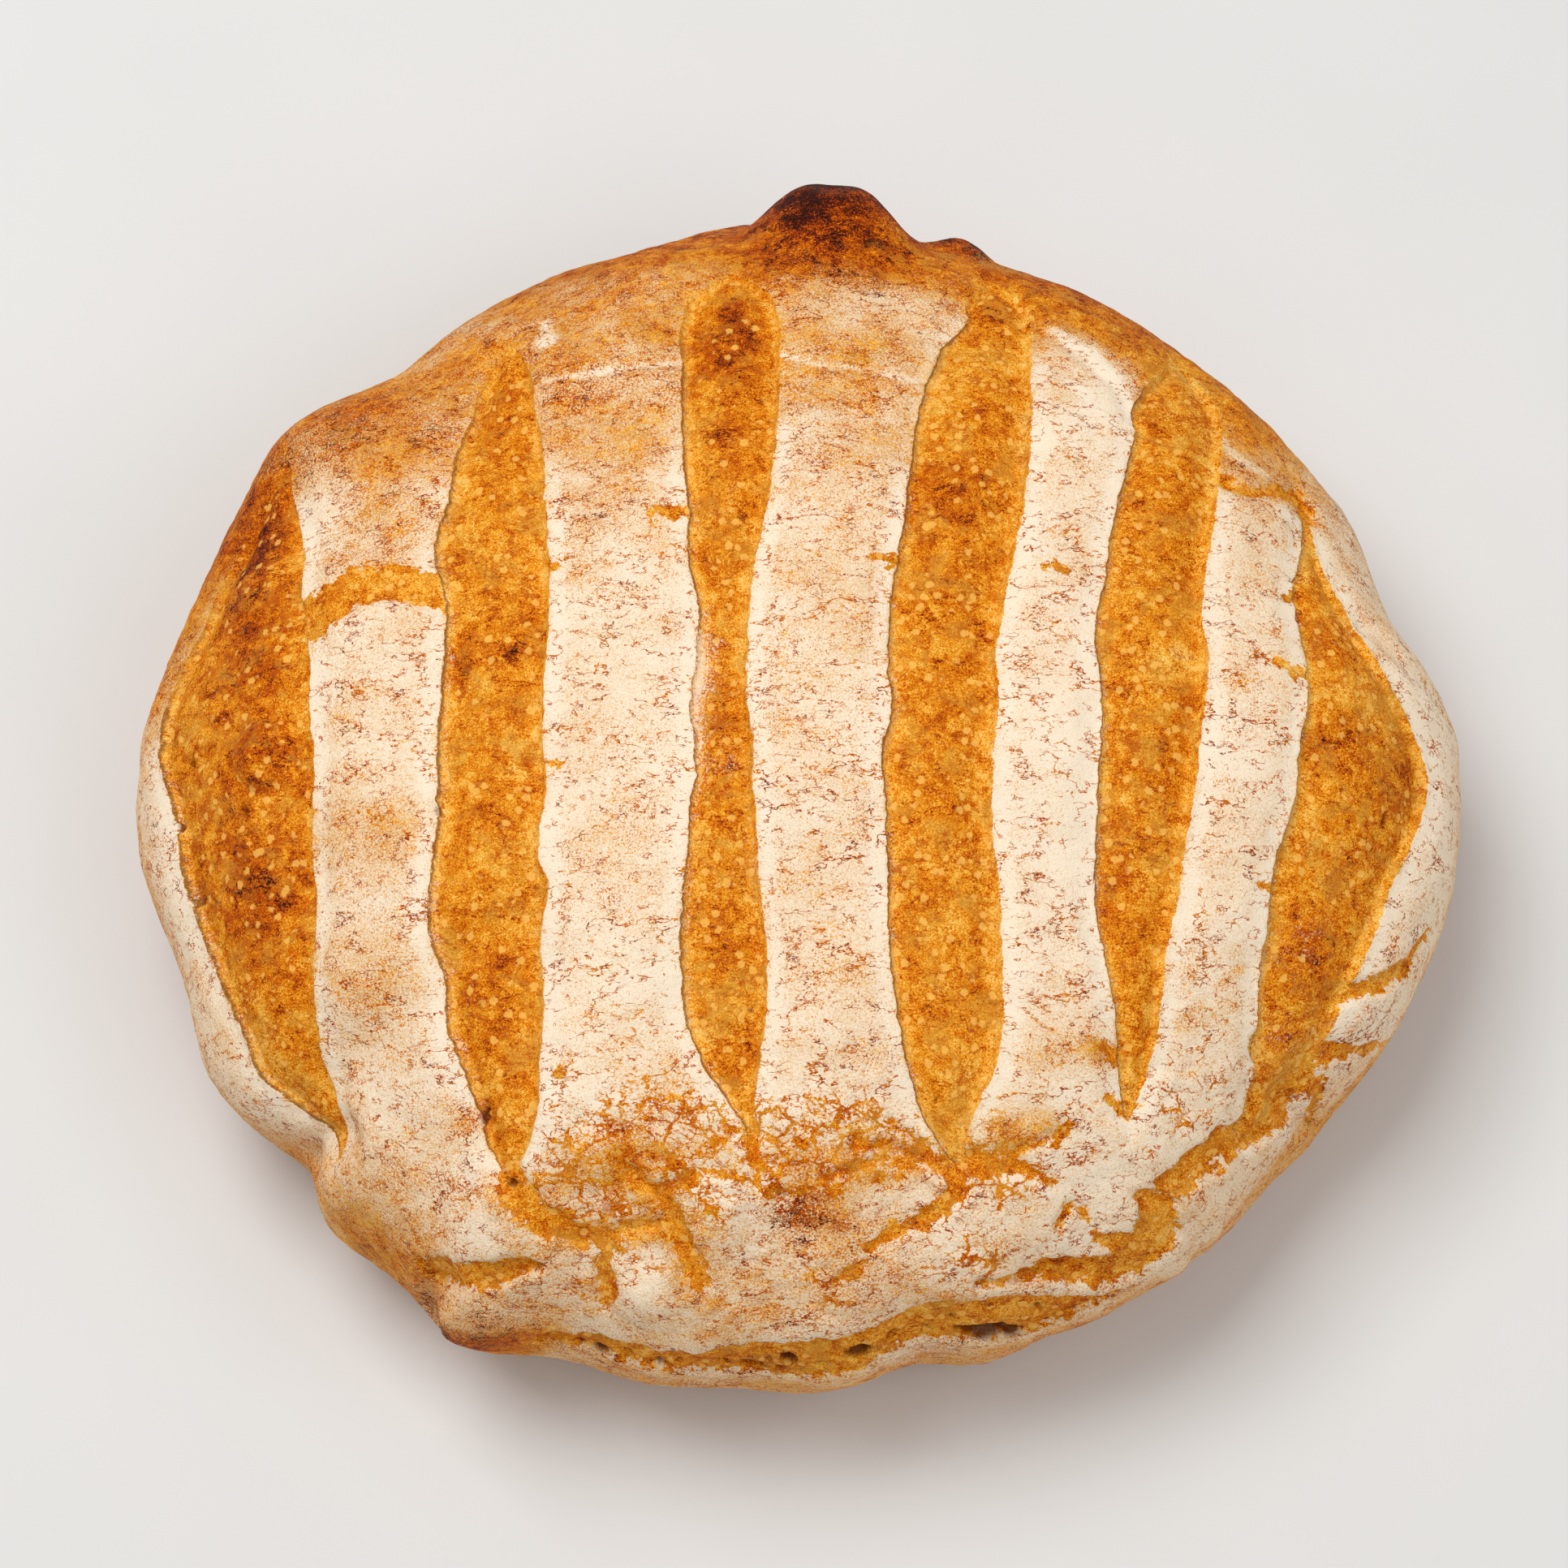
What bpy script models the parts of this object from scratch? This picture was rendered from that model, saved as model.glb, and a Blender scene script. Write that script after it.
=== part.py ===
"""A free-form hearth loaf: one solid of bread with six slashes, a knob, torn places and a flat base.

The skin is first laid out flat as a disc. A place on it is (u, v) in millimetres, measured over the
skin from the crown: u runs to the loaf's right (+X) and v to its far side (+Y). The disc is then
wrapped over the domed form, and slashes, tears, bumps and the knob push it in or out.
"""

import math

import bmesh
import bpy
import numpy as np

MM = 0.001

# Driving dimensions, in millimetres
HALF_LENGTH = 120.0     # crown to belly along X
HALF_WIDTH = 109.5      # crown to belly along Y
HEIGHT = 82.0
BELLY_HEIGHT = 30.0     # height of the widest outline
DOME_POWER = 2.3        # 2 is an ellipse, more is a fuller shoulder
TUCK = 18.0             # how far the edge of the base lies inside the belly
RIGHT_TAPER = 0.03      # how much the right half narrows between its bearings of 0 and 90 degrees

# Bulges and hollows of the outline: bearing in degrees, spread in degrees, size
BULGES = (
    (17, 9, -4.4), (32, 6, -1.2), (50, 9, 1.4), (86, 9, 1.2), (96, 7, 1.5), (133, 6, -4.0),
    (146, 5, 1.6), (160, 5, -0.9), (198, 7, -2.7), (217, 4, -4.6), (239, 6, 6.2),
    (265, 6, -1.6), (281, 5, -3.6), (293, 5, -1.8), (308, 4, 1.4), (324, 9, -4.0),
    (340, 8, -1.2),
)
BULGE_AT_BASE = 0.4     # share of each bulge that is left at the edge of the base

# Long soft waves of the whole skin: wavelength, bearing in degrees, phase in degrees, height
WAVES = ((74, 20, 40, 0.5), (53, 105, 200, 0.45), (38, 150, 90, 0.3), (31, 62, 300, 0.25))

# Slashes: rows of (v, left edge, right edge), from the far end to the near one
SLASHES = (
    ((58, -97, -96), (47, -104.5, -93), (31, -111, -89.5), (16, -118, -85.5), (2, -121, -84),
     (-25, -116, -86.5), (-52, -105, -87), (-68, -101.5, -89.5), (-80, -93, -91)),
    ((78, -59, -54), (70, -63, -51.5), (50, -63, -48.5), (30, -64.5, -44), (12, -61, -43),
     (-12, -62, -43.5), (-40, -65, -45.5), (-58, -63, -45), (-76, -55, -47)),
    ((93, -16, -11), (84, -22.5, -5), (57, -22.5, -4.5), (33, -21, -8), (10, -18, -10),
     (-12, -19.5, -8.5), (-46, -21, -6.5), (-62, -20, -6.5), (-72, -14.5, -8), (-81, -9, -8.5)),
    ((97, 36, 41), (88, 32, 45), (70, 24.5, 43.5), (48, 20, 41.5), (24, 16.5, 37), (-8, 14, 31.5),
     (-30, 15, 35), (-56, 17.5, 36), (-70, 20, 34.5), (-86, 28, 29.5)),
    ((82, 74, 77), (71, 66, 81), (56, 61, 79.5), (34, 55.5, 74), (8, 50.5, 69.5),
     (-12, 50, 66.5), (-42, 54, 66.5), (-64, 58.5, 66.5), (-75, 62, 63.5)),
    ((54, 95.5, 96.5), (42, 95.5, 98.5), (26, 90, 103), (6, 86, 110.5), (-5, 84, 114.5),
     (-22, 82.5, 108), (-42, 83, 102.5), (-60, 86.5, 100), (-76, 86, 94)),
)
SLASH_DEPTH = 1.7       # the step down from the floured skin, along the edges of a slash
SLASH_CROWN = 1.4       # how much the crumb rises again along the middle
PILLOW_HEIGHT = 0.9     # how much the skin swells between the slashes
PILLOW_REACH = 6.0      # width of the roll of skin beside a slash
LIP_WIDTH = 1.8         # width of the step down from the skin

# Tears in the skin: depth, then the middle line with the half width at each point, (u, v, half width)
TEARS = (
    (1.3, ((-92, 17, 2.5), (-80, 22, 4), (-64, 23, 3.5))),
    (2.0, ((92, -66, 6), (94, -74, 7), (84, -80, 4.5), (77, -86, 2.5))),
    (2.2, ((71, -92, 3), (69, -98, 5.5), (62, -106, 5), (50, -107, 2.5), (42, -109, 1))),
    (1.8, ((-70, -101, 3), (-60, -99, 3), (-49, -98.5, 2.5))),
    (1.5, ((-52, -74, 4), (-50, -80, 3.5), (-45, -90, 3), (-38, -96, 3), (-30, -97, 2.5))),
    (1.2, ((-26, -85, 3.5), (-24, -97, 4.5), (-20, -109, 3.5))),
    (1.2, ((24, -100, 1), (31, -94, 2.2), (36, -89, 1))),
    (2.6, ((-50, -122, 2), (-34, -123, 4), (-18, -126, 4), (2, -124, 5), (14, -121.5, 4),
           (28, -121, 4), (40, -125, 8), (52, -121, 4), (60, -120, 1.5))),
)
TEAR_LIP = 1.6

# Creases, where the dough folded over itself: depth, half width, then the points of the line
CREASES = (
    (3.0, 3.5, ((-106, -84), (-99, -80), (-86, -76))),
    (2.6, 3.0, ((-78, -115), (-73, -106), (-66, -102))),
    (1.6, 3.0, ((112, -78), (103, -75), (96, -70))),
    (1.4, 3.0, ((92, -112), (84, -104), (76, -96))),
    (1.2, 2.5, ((128, 14), (114, 18), (106, 24))),
)

# Low round bumps of the skin: u, v, radius, height (a dimple has a height below 0)
BUMPS = (
    (-30, -108.5, 6.5, 2.2), (-15, -94.5, 7, 1.4), (-35, -81, 5, 1.6), (0, -95.7, 6, -1.2),
    (33.4, 116, 6, 2.6), (-93, -4, 11, 1.4), (-98, 30, 9, 1.6), (42, -96, 9, 1.2),
    (63, -78, 8, 1.2), (-66, -112, 10, 1.5),
)

# The knob on the far shoulder
KNOB_PLACE = (5.5, 112.0)
KNOB_RADIUS = 20.0      # of its foot
KNOB_TIP = 5.0          # radius of its blunt tip
KNOB_LENGTH = 9.0
KNOB_RISE = 22.0        # degrees above the horizontal

# Mesh
RINGS = 140             # rings of the fine skin
PROFILE_STEPS = 300
FADE_HEIGHT = 9.0       # relief dies out this far above the base
TRIANGLES = 9200        # kept of the fine skin
MEAN_RADIUS = (HALF_LENGTH + HALF_WIDTH) / 2


def bump(distance, reach):
    """1 at a distance of 0, falling smoothly to 0 at the reach."""
    share = np.clip(1 - np.abs(distance) / reach, 0, 1)
    return share * share * (3 - 2 * share)


def outline(bearing, bulging):
    """Radius of the widest outline at each bearing, with the given share of its bulges."""
    radius = 1 / np.hypot(np.cos(bearing) / HALF_LENGTH, np.sin(bearing) / HALF_WIDTH)
    right = np.cos(bearing) > 0
    radius = radius * (1 - RIGHT_TAPER * np.sin(2 * bearing) ** 2 * right)
    degrees = np.degrees(bearing)
    for place, spread, size in BULGES:
        away = (degrees - place + 180) % 360 - 180
        radius = radius + bulging * size * np.exp(-(away / spread) ** 2)
    return radius


def profile():
    """The section from crown to base edge: share of the outline's radius, height, inset and run."""
    dome = np.linspace(0, math.pi / 2, PROFILE_STEPS)
    foot = np.linspace(0, math.pi / 2, PROFILE_STEPS // 2)[1:]
    dome_height = BELLY_HEIGHT + (HEIGHT - BELLY_HEIGHT) * np.cos(dome) ** (2 / DOME_POWER)
    share = np.concatenate([np.sin(dome) ** (2 / DOME_POWER), np.ones_like(foot)])
    height = np.concatenate([dome_height, BELLY_HEIGHT * (1 - np.sin(foot))])
    inset = np.concatenate([np.zeros_like(dome), TUCK * (1 - np.cos(foot))])
    steps = np.hypot(np.diff(share * MEAN_RADIUS - inset), np.diff(height))
    run = np.concatenate([[0.0], np.cumsum(steps)])
    return share, height, inset, run


SHARE, PROFILE_HEIGHT, INSET, RUN = profile()
SPAN = RUN[-1]          # over the skin, from the crown to the edge of the base


def smooth_row(place, places, values):
    """A smooth curve through the rows of a slash, read at each place."""
    order = np.argsort(places)
    x = np.asarray(places, float)[order]
    y = np.asarray(values, float)[order]
    slope = np.gradient(y, x)
    k = np.clip(np.searchsorted(x, place) - 1, 0, len(x) - 2)
    width = x[k + 1] - x[k]
    t = np.clip((place - x[k]) / width, 0, 1)
    start = y[k] + slope[k] * width * t * (1 - t)
    end = y[k + 1] - slope[k + 1] * width * t * (1 - t)
    blend = t * t * (3 - 2 * t)
    return start * (1 - blend) + end * blend


def into_slash(u, v):
    """How far each place lies inside the nearest slash, and its share of the way to the middle."""
    depth = np.full(u.shape, -99.0)
    share = np.zeros(u.shape)
    for rows in SLASHES:
        along, left, right = zip(*rows)
        left_edge = smooth_row(v, along, left)
        right_edge = smooth_row(v, along, right)
        half = (right_edge - left_edge) / 2
        past_end = np.maximum(v - max(along), 0) + np.maximum(min(along) - v, 0)
        inside = half - np.abs(u - (left_edge + right_edge) / 2) - past_end
        share = np.where(inside > depth, np.clip(inside / half, 0, 1), share)
        depth = np.maximum(depth, inside)
    return depth, share


def from_line(u, v, points):
    """Distance to a line of points, and how far along the nearest stretch of it, as an index."""
    best = np.full(u.shape, 1e9)
    index = np.zeros(u.shape)
    for i in range(len(points) - 1):
        a = np.array(points[i][:2], float)
        b = np.array(points[i + 1][:2], float)
        length = np.hypot(*(b - a))
        t = np.clip(((u - a[0]) * (b - a)[0] + (v - a[1]) * (b - a)[1]) / length ** 2, 0, 1)
        distance = np.hypot(u - a[0] - t * (b - a)[0], v - a[1] - t * (b - a)[1])
        index = np.where(distance < best, i + t, index)
        best = np.minimum(best, distance)
    return best, index


def relief(u, v):
    """How far the skin stands out from the plain form, below 0 where it lies in."""
    inside, share = into_slash(u, v)
    step = np.clip(inside / LIP_WIDTH, 0, 1)
    step = step * step * (3 - 2 * step)
    out = -step * (SLASH_DEPTH - SLASH_CROWN * np.sin(share * math.pi / 2))
    out -= PILLOW_HEIGHT * bump(np.minimum(inside, 0), PILLOW_REACH)
    for wavelength, bearing, phase, height in WAVES:
        along = u * math.cos(math.radians(bearing)) + v * math.sin(math.radians(bearing))
        out += height * np.sin(2 * math.pi * along / wavelength + math.radians(phase))
    for depth, points in TEARS:
        distance, index = from_line(u, v, points)
        half = np.interp(index, range(len(points)), [p[2] for p in points])
        out -= depth * bump(np.maximum(distance - half + TEAR_LIP, 0), 2 * TEAR_LIP)
    for depth, half, points in CREASES:
        distance, _ = from_line(u, v, points)
        out -= depth * bump(distance, half * 2)
    for place_u, place_v, radius, height in BUMPS:
        out += height * bump(np.hypot(u - place_u, v - place_v), radius * 1.5)
    return out * np.clip((SPAN - np.hypot(u, v)) / FADE_HEIGHT, 0, 1)


def wrap(u, v):
    """The points of the loaf's skin, in millimetres, for places (u, v) on the flat disc."""
    run = np.hypot(u, v)
    bearing = np.arctan2(v, u) % (2 * math.pi)
    rise = np.interp(run, RUN, np.gradient(PROFILE_HEIGHT, RUN))
    across = np.interp(run, RUN, np.gradient(SHARE * MEAN_RADIUS - INSET, RUN))
    out = relief(u, v) / np.hypot(rise, across)
    height = np.interp(run, RUN, PROFILE_HEIGHT)
    bulging = BULGE_AT_BASE + (1 - BULGE_AT_BASE) * np.clip(height / BELLY_HEIGHT, 0, 1)
    radius = outline(bearing, bulging) * np.interp(run, RUN, SHARE) - np.interp(run, RUN, INSET)
    radius = radius - out * rise
    height = height + out * across
    points = np.stack([radius * np.cos(bearing), radius * np.sin(bearing), height], -1)
    away = np.hypot(u - KNOB_PLACE[0], v - KNOB_PLACE[1])
    swell = KNOB_LENGTH * bump(np.maximum(away - KNOB_TIP, 0), KNOB_RADIUS - KNOB_TIP)
    facing = math.atan2(KNOB_PLACE[1], KNOB_PLACE[0])
    tilt = math.radians(KNOB_RISE)
    toward = (math.cos(facing) * math.cos(tilt), math.sin(facing) * math.cos(tilt), math.sin(tilt))
    return points + swell[:, None] * np.array(toward)


def disc(rings, reach):
    """An even mesh of triangles over a disc: ring k has 6k vertices. Places u, v and the faces."""
    u, v, faces = [0.0], [0.0], []
    first = [0] + [1 + 3 * k * (k - 1) for k in range(1, rings + 1)]
    for k in range(1, rings + 1):
        turn = np.arange(6 * k) * 2 * math.pi / (6 * k)
        u.extend(reach * k / rings * np.cos(turn))
        v.extend(reach * k / rings * np.sin(turn))
        inner = max(6 * (k - 1), 1)
        for side in range(6):
            for j in range(k):
                outer_a = first[k] + side * k + j
                outer_b = first[k] + (side * k + j + 1) % (6 * k)
                inner_a = first[k - 1] + (side * (k - 1) + j) % inner
                faces.append((inner_a, outer_a, outer_b))
                if j < k - 1:
                    inner_b = first[k - 1] + (side * (k - 1) + j + 1) % inner
                    faces.append((inner_a, outer_b, inner_b))
    return np.array(u), np.array(v), faces


def close_base(mesh):
    """Closes the open ring under the loaf with one flat face."""
    shape = bmesh.new()
    shape.from_mesh(mesh)
    rim = [edge for edge in shape.edges if edge.is_boundary]
    base = bmesh.ops.contextual_create(shape, geom=rim)["faces"]
    bmesh.ops.recalc_face_normals(shape, faces=list(shape.faces))
    bmesh.ops.triangulate(shape, faces=base)
    shape.to_mesh(mesh)
    shape.free()


def thin_out(loaf):
    """Keeps the triangles that the form needs, and lays the base flat again."""
    modifier = loaf.modifiers.new("thin_out", "DECIMATE")
    modifier.ratio = TRIANGLES / len(loaf.data.polygons)
    seen = loaf.evaluated_get(bpy.context.evaluated_depsgraph_get())
    thinned = bpy.data.meshes.new_from_object(seen)
    loaf.modifiers.clear()
    loaf.data = thinned
    corners = np.array([vertex.co for vertex in thinned.vertices])
    corners[corners[:, 2] < 0.2 * MM, 2] = 0
    middle = (corners.min(axis=0) + corners.max(axis=0)) / 2
    corners[:, :2] -= middle[:2]
    thinned.vertices.foreach_set("co", corners.ravel())
    thinned.update()


def crust():
    """Golden brown baked crust."""
    material = bpy.data.materials.new("baked_crust")
    material.use_nodes = True
    shader = material.node_tree.nodes["Principled BSDF"]
    shader.inputs["Base Color"].default_value = (0.70, 0.40, 0.12, 1)
    shader.inputs["Roughness"].default_value = 0.75
    shader.inputs["Metallic"].default_value = 0
    return material


def build_loaf():
    """The loaf as one closed solid."""
    u, v, faces = disc(RINGS, SPAN)
    mesh = bpy.data.meshes.new("loaf")
    mesh.from_pydata((wrap(u, v) * MM).tolist(), [], faces)
    close_base(mesh)
    loaf = bpy.data.objects.new("loaf", mesh)
    bpy.context.collection.objects.link(loaf)
    thin_out(loaf)
    loaf.data.name = "loaf"
    loaf.data.materials.clear()
    loaf.data.materials.append(crust())
    loaf.data.shade_smooth()
    loaf.data.set_sharp_from_angle(angle=math.radians(60))
    return loaf


def main():
    for old in list(bpy.data.objects):
        bpy.data.objects.remove(old)
    build_loaf()


main()
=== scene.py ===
"""The looks of a flour-dusted hearth loaf: its fine skin, slashes, tears, flour, light and camera.

The skin is laid out flat as a disc and wrapped over the domed form. A place on it is (u, v) in
millimetres, measured over the skin from the crown: u runs to +X and v to +Y, the far side.
"""
import math

import bpy
import numpy as np
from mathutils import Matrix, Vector


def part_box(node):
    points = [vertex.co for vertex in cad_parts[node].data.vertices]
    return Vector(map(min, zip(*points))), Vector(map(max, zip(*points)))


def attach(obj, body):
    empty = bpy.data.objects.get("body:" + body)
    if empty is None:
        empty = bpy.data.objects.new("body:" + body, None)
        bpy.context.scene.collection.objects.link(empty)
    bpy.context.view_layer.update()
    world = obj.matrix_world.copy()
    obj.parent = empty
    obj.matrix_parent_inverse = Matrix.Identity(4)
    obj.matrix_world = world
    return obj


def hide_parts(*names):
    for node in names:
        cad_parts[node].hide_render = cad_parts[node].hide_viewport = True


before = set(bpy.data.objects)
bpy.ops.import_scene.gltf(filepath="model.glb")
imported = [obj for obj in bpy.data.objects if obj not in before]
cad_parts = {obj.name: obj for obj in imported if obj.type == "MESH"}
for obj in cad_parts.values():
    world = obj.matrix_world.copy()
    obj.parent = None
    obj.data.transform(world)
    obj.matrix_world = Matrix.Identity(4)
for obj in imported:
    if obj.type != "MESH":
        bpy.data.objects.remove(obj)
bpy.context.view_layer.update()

MM = 0.001

# -------- sizes of the form, in millimetres

HALF_LENGTH = 120.0     # crown to belly along X
HALF_WIDTH = 109.5      # crown to belly along Y
HEIGHT = 82.0
BELLY_HEIGHT = 30.0     # height of the widest outline
DOME_POWER = 2.3        # 2 is an ellipse, more is a fuller shoulder
TUCK = 18.0             # how far the edge of the base lies inside the belly
RIGHT_TAPER = 0.03      # how much the right half narrows between its bearings of 0 and 90 degrees
PROFILE_STEPS = 300
MEAN_RADIUS = (HALF_LENGTH + HALF_WIDTH) / 2

# Bulges and hollows of the outline: bearing in degrees, spread in degrees, size
BULGES = (
    (17, 9, -4.4), (32, 6, -1.2), (50, 9, 1.4), (86, 9, 1.2), (96, 7, 1.5), (133, 6, -4.0),
    (146, 5, 1.6), (160, 5, -0.9), (198, 7, -2.7), (217, 4, -4.6), (239, 6, 6.2),
    (265, 6, -1.6), (281, 5, -3.6), (293, 5, -1.8), (308, 4, 1.4), (324, 9, -4.0),
    (340, 8, -1.2),
)
BULGE_AT_BASE = 0.4     # share of each bulge that is left at the edge of the base

# Long soft waves of the whole skin: wavelength, bearing in degrees, phase in degrees, height
WAVES = ((74, 20, 40, 0.5), (53, 105, 200, 0.45), (38, 150, 90, 0.3), (31, 62, 300, 0.25))

# Slashes: rows of (v, left edge, right edge), from the far end to the near one
SLASHES = (
    ((58, -97, -96), (47, -104.5, -93.5), (36, -109, -90), (25, -113, -88), (14, -119, -85),
     (2, -121, -84.3), (-9, -117.5, -83.6), (-25, -116, -86.5), (-38, -112.5, -85.8),
     (-53, -105, -87.2), (-64, -103, -90.5), (-74, -98.5, -89.5), (-80, -93, -90)),
    ((78, -59, -54), (71, -63, -51.5), (60, -63.5, -50.2), (51, -63.1, -48.7), (42, -62, -46.8),
     (31, -64.3, -44.1), (17, -61, -43.5), (2, -61, -43.2), (-18, -62.8, -44.3),
     (-36, -64.2, -45.5), (-49, -65, -45.4), (-61, -61.5, -45.1), (-70, -58.3, -44.8), (-77, -55, -47)),
    ((93, -16, -11), (89, -21.2, -7.2), (82, -23.2, -4.6), (70, -23, -4.3), (57, -22.6, -4.6),
     (46, -22, -5.5), (37, -20.7, -6.8), (27, -20.9, -8.7), (15, -18.3, -9.9), (8, -18.3, -9.8),
     (0, -19, -9.4), (-8, -18.7, -8.8), (-20, -19.8, -8.5), (-33, -20.2, -8), (-47, -21.6, -6.8),
     (-61, -20.6, -7), (-70, -16.6, -8.4), (-77, -12.2, -9.2), (-82, -9.9, -9.3)),
    ((97.5, 37, 40), (93, 33, 44.2), (85, 31.8, 45), (79, 27.5, 44.5), (72, 24.8, 43.8),
     (60, 21.6, 42.8), (47, 19.8, 41.3), (35, 18.3, 39.4), (27, 16.8, 37.6), (12, 14.9, 34.3),
     (1, 14.6, 32.4), (-9, 14, 31.9), (-19, 14.4, 33.4), (-34, 15.2, 35.2), (-46, 15.4, 35.1),
     (-60, 17, 36), (-70, 19.2, 34.4), (-79, 22.6, 30.8), (-86, 27.6, 29.2)),
    ((82, 74, 77.5), (74, 67.6, 79.4), (66, 62.8, 81), (56, 61.2, 79), (47, 59, 77.2),
     (36, 56.2, 74.6), (22, 53.2, 72.2), (8, 50.4, 69.2), (-4, 49.5, 67), (-16, 50.1, 66.4),
     (-31, 52.2, 66.5), (-44, 54.4, 66.7), (-55, 56.2, 66.4), (-63, 57, 65),
     (-70, 57.3, 62), (-75, 58.6, 59.4)),
    ((54, 95.5, 96.3), (46, 96, 98), (38, 94.2, 99.2), (30, 91.4, 101.4), (20, 89.5, 103.8),
     (11, 87.5, 107), (3, 85.8, 112), (-4, 84.4, 114.6), (-12, 84.4, 112.7), (-24, 82.3, 107.4),
     (-35, 82.6, 104.3), (-46, 83.4, 101.3), (-58, 86, 100.5), (-68, 87.5, 99), (-78, 86, 94)),
)
SLASH_DEPTH = 1.9       # the step down from the skin, along the edges of a slash
SLASH_CROWN = 1.5       # how much the crumb rises again along the middle
LIP_WIDTH = 0.9
PILLOW_HEIGHT = 0.9     # how much the skin swells between the slashes
PILLOW_REACH = 6.0      # width of the roll of skin beside a slash
GATHER_REACH = 3.2      # the lattice is drawn together this far from a slash's edge
GATHER_POWER = 1.7

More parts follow.
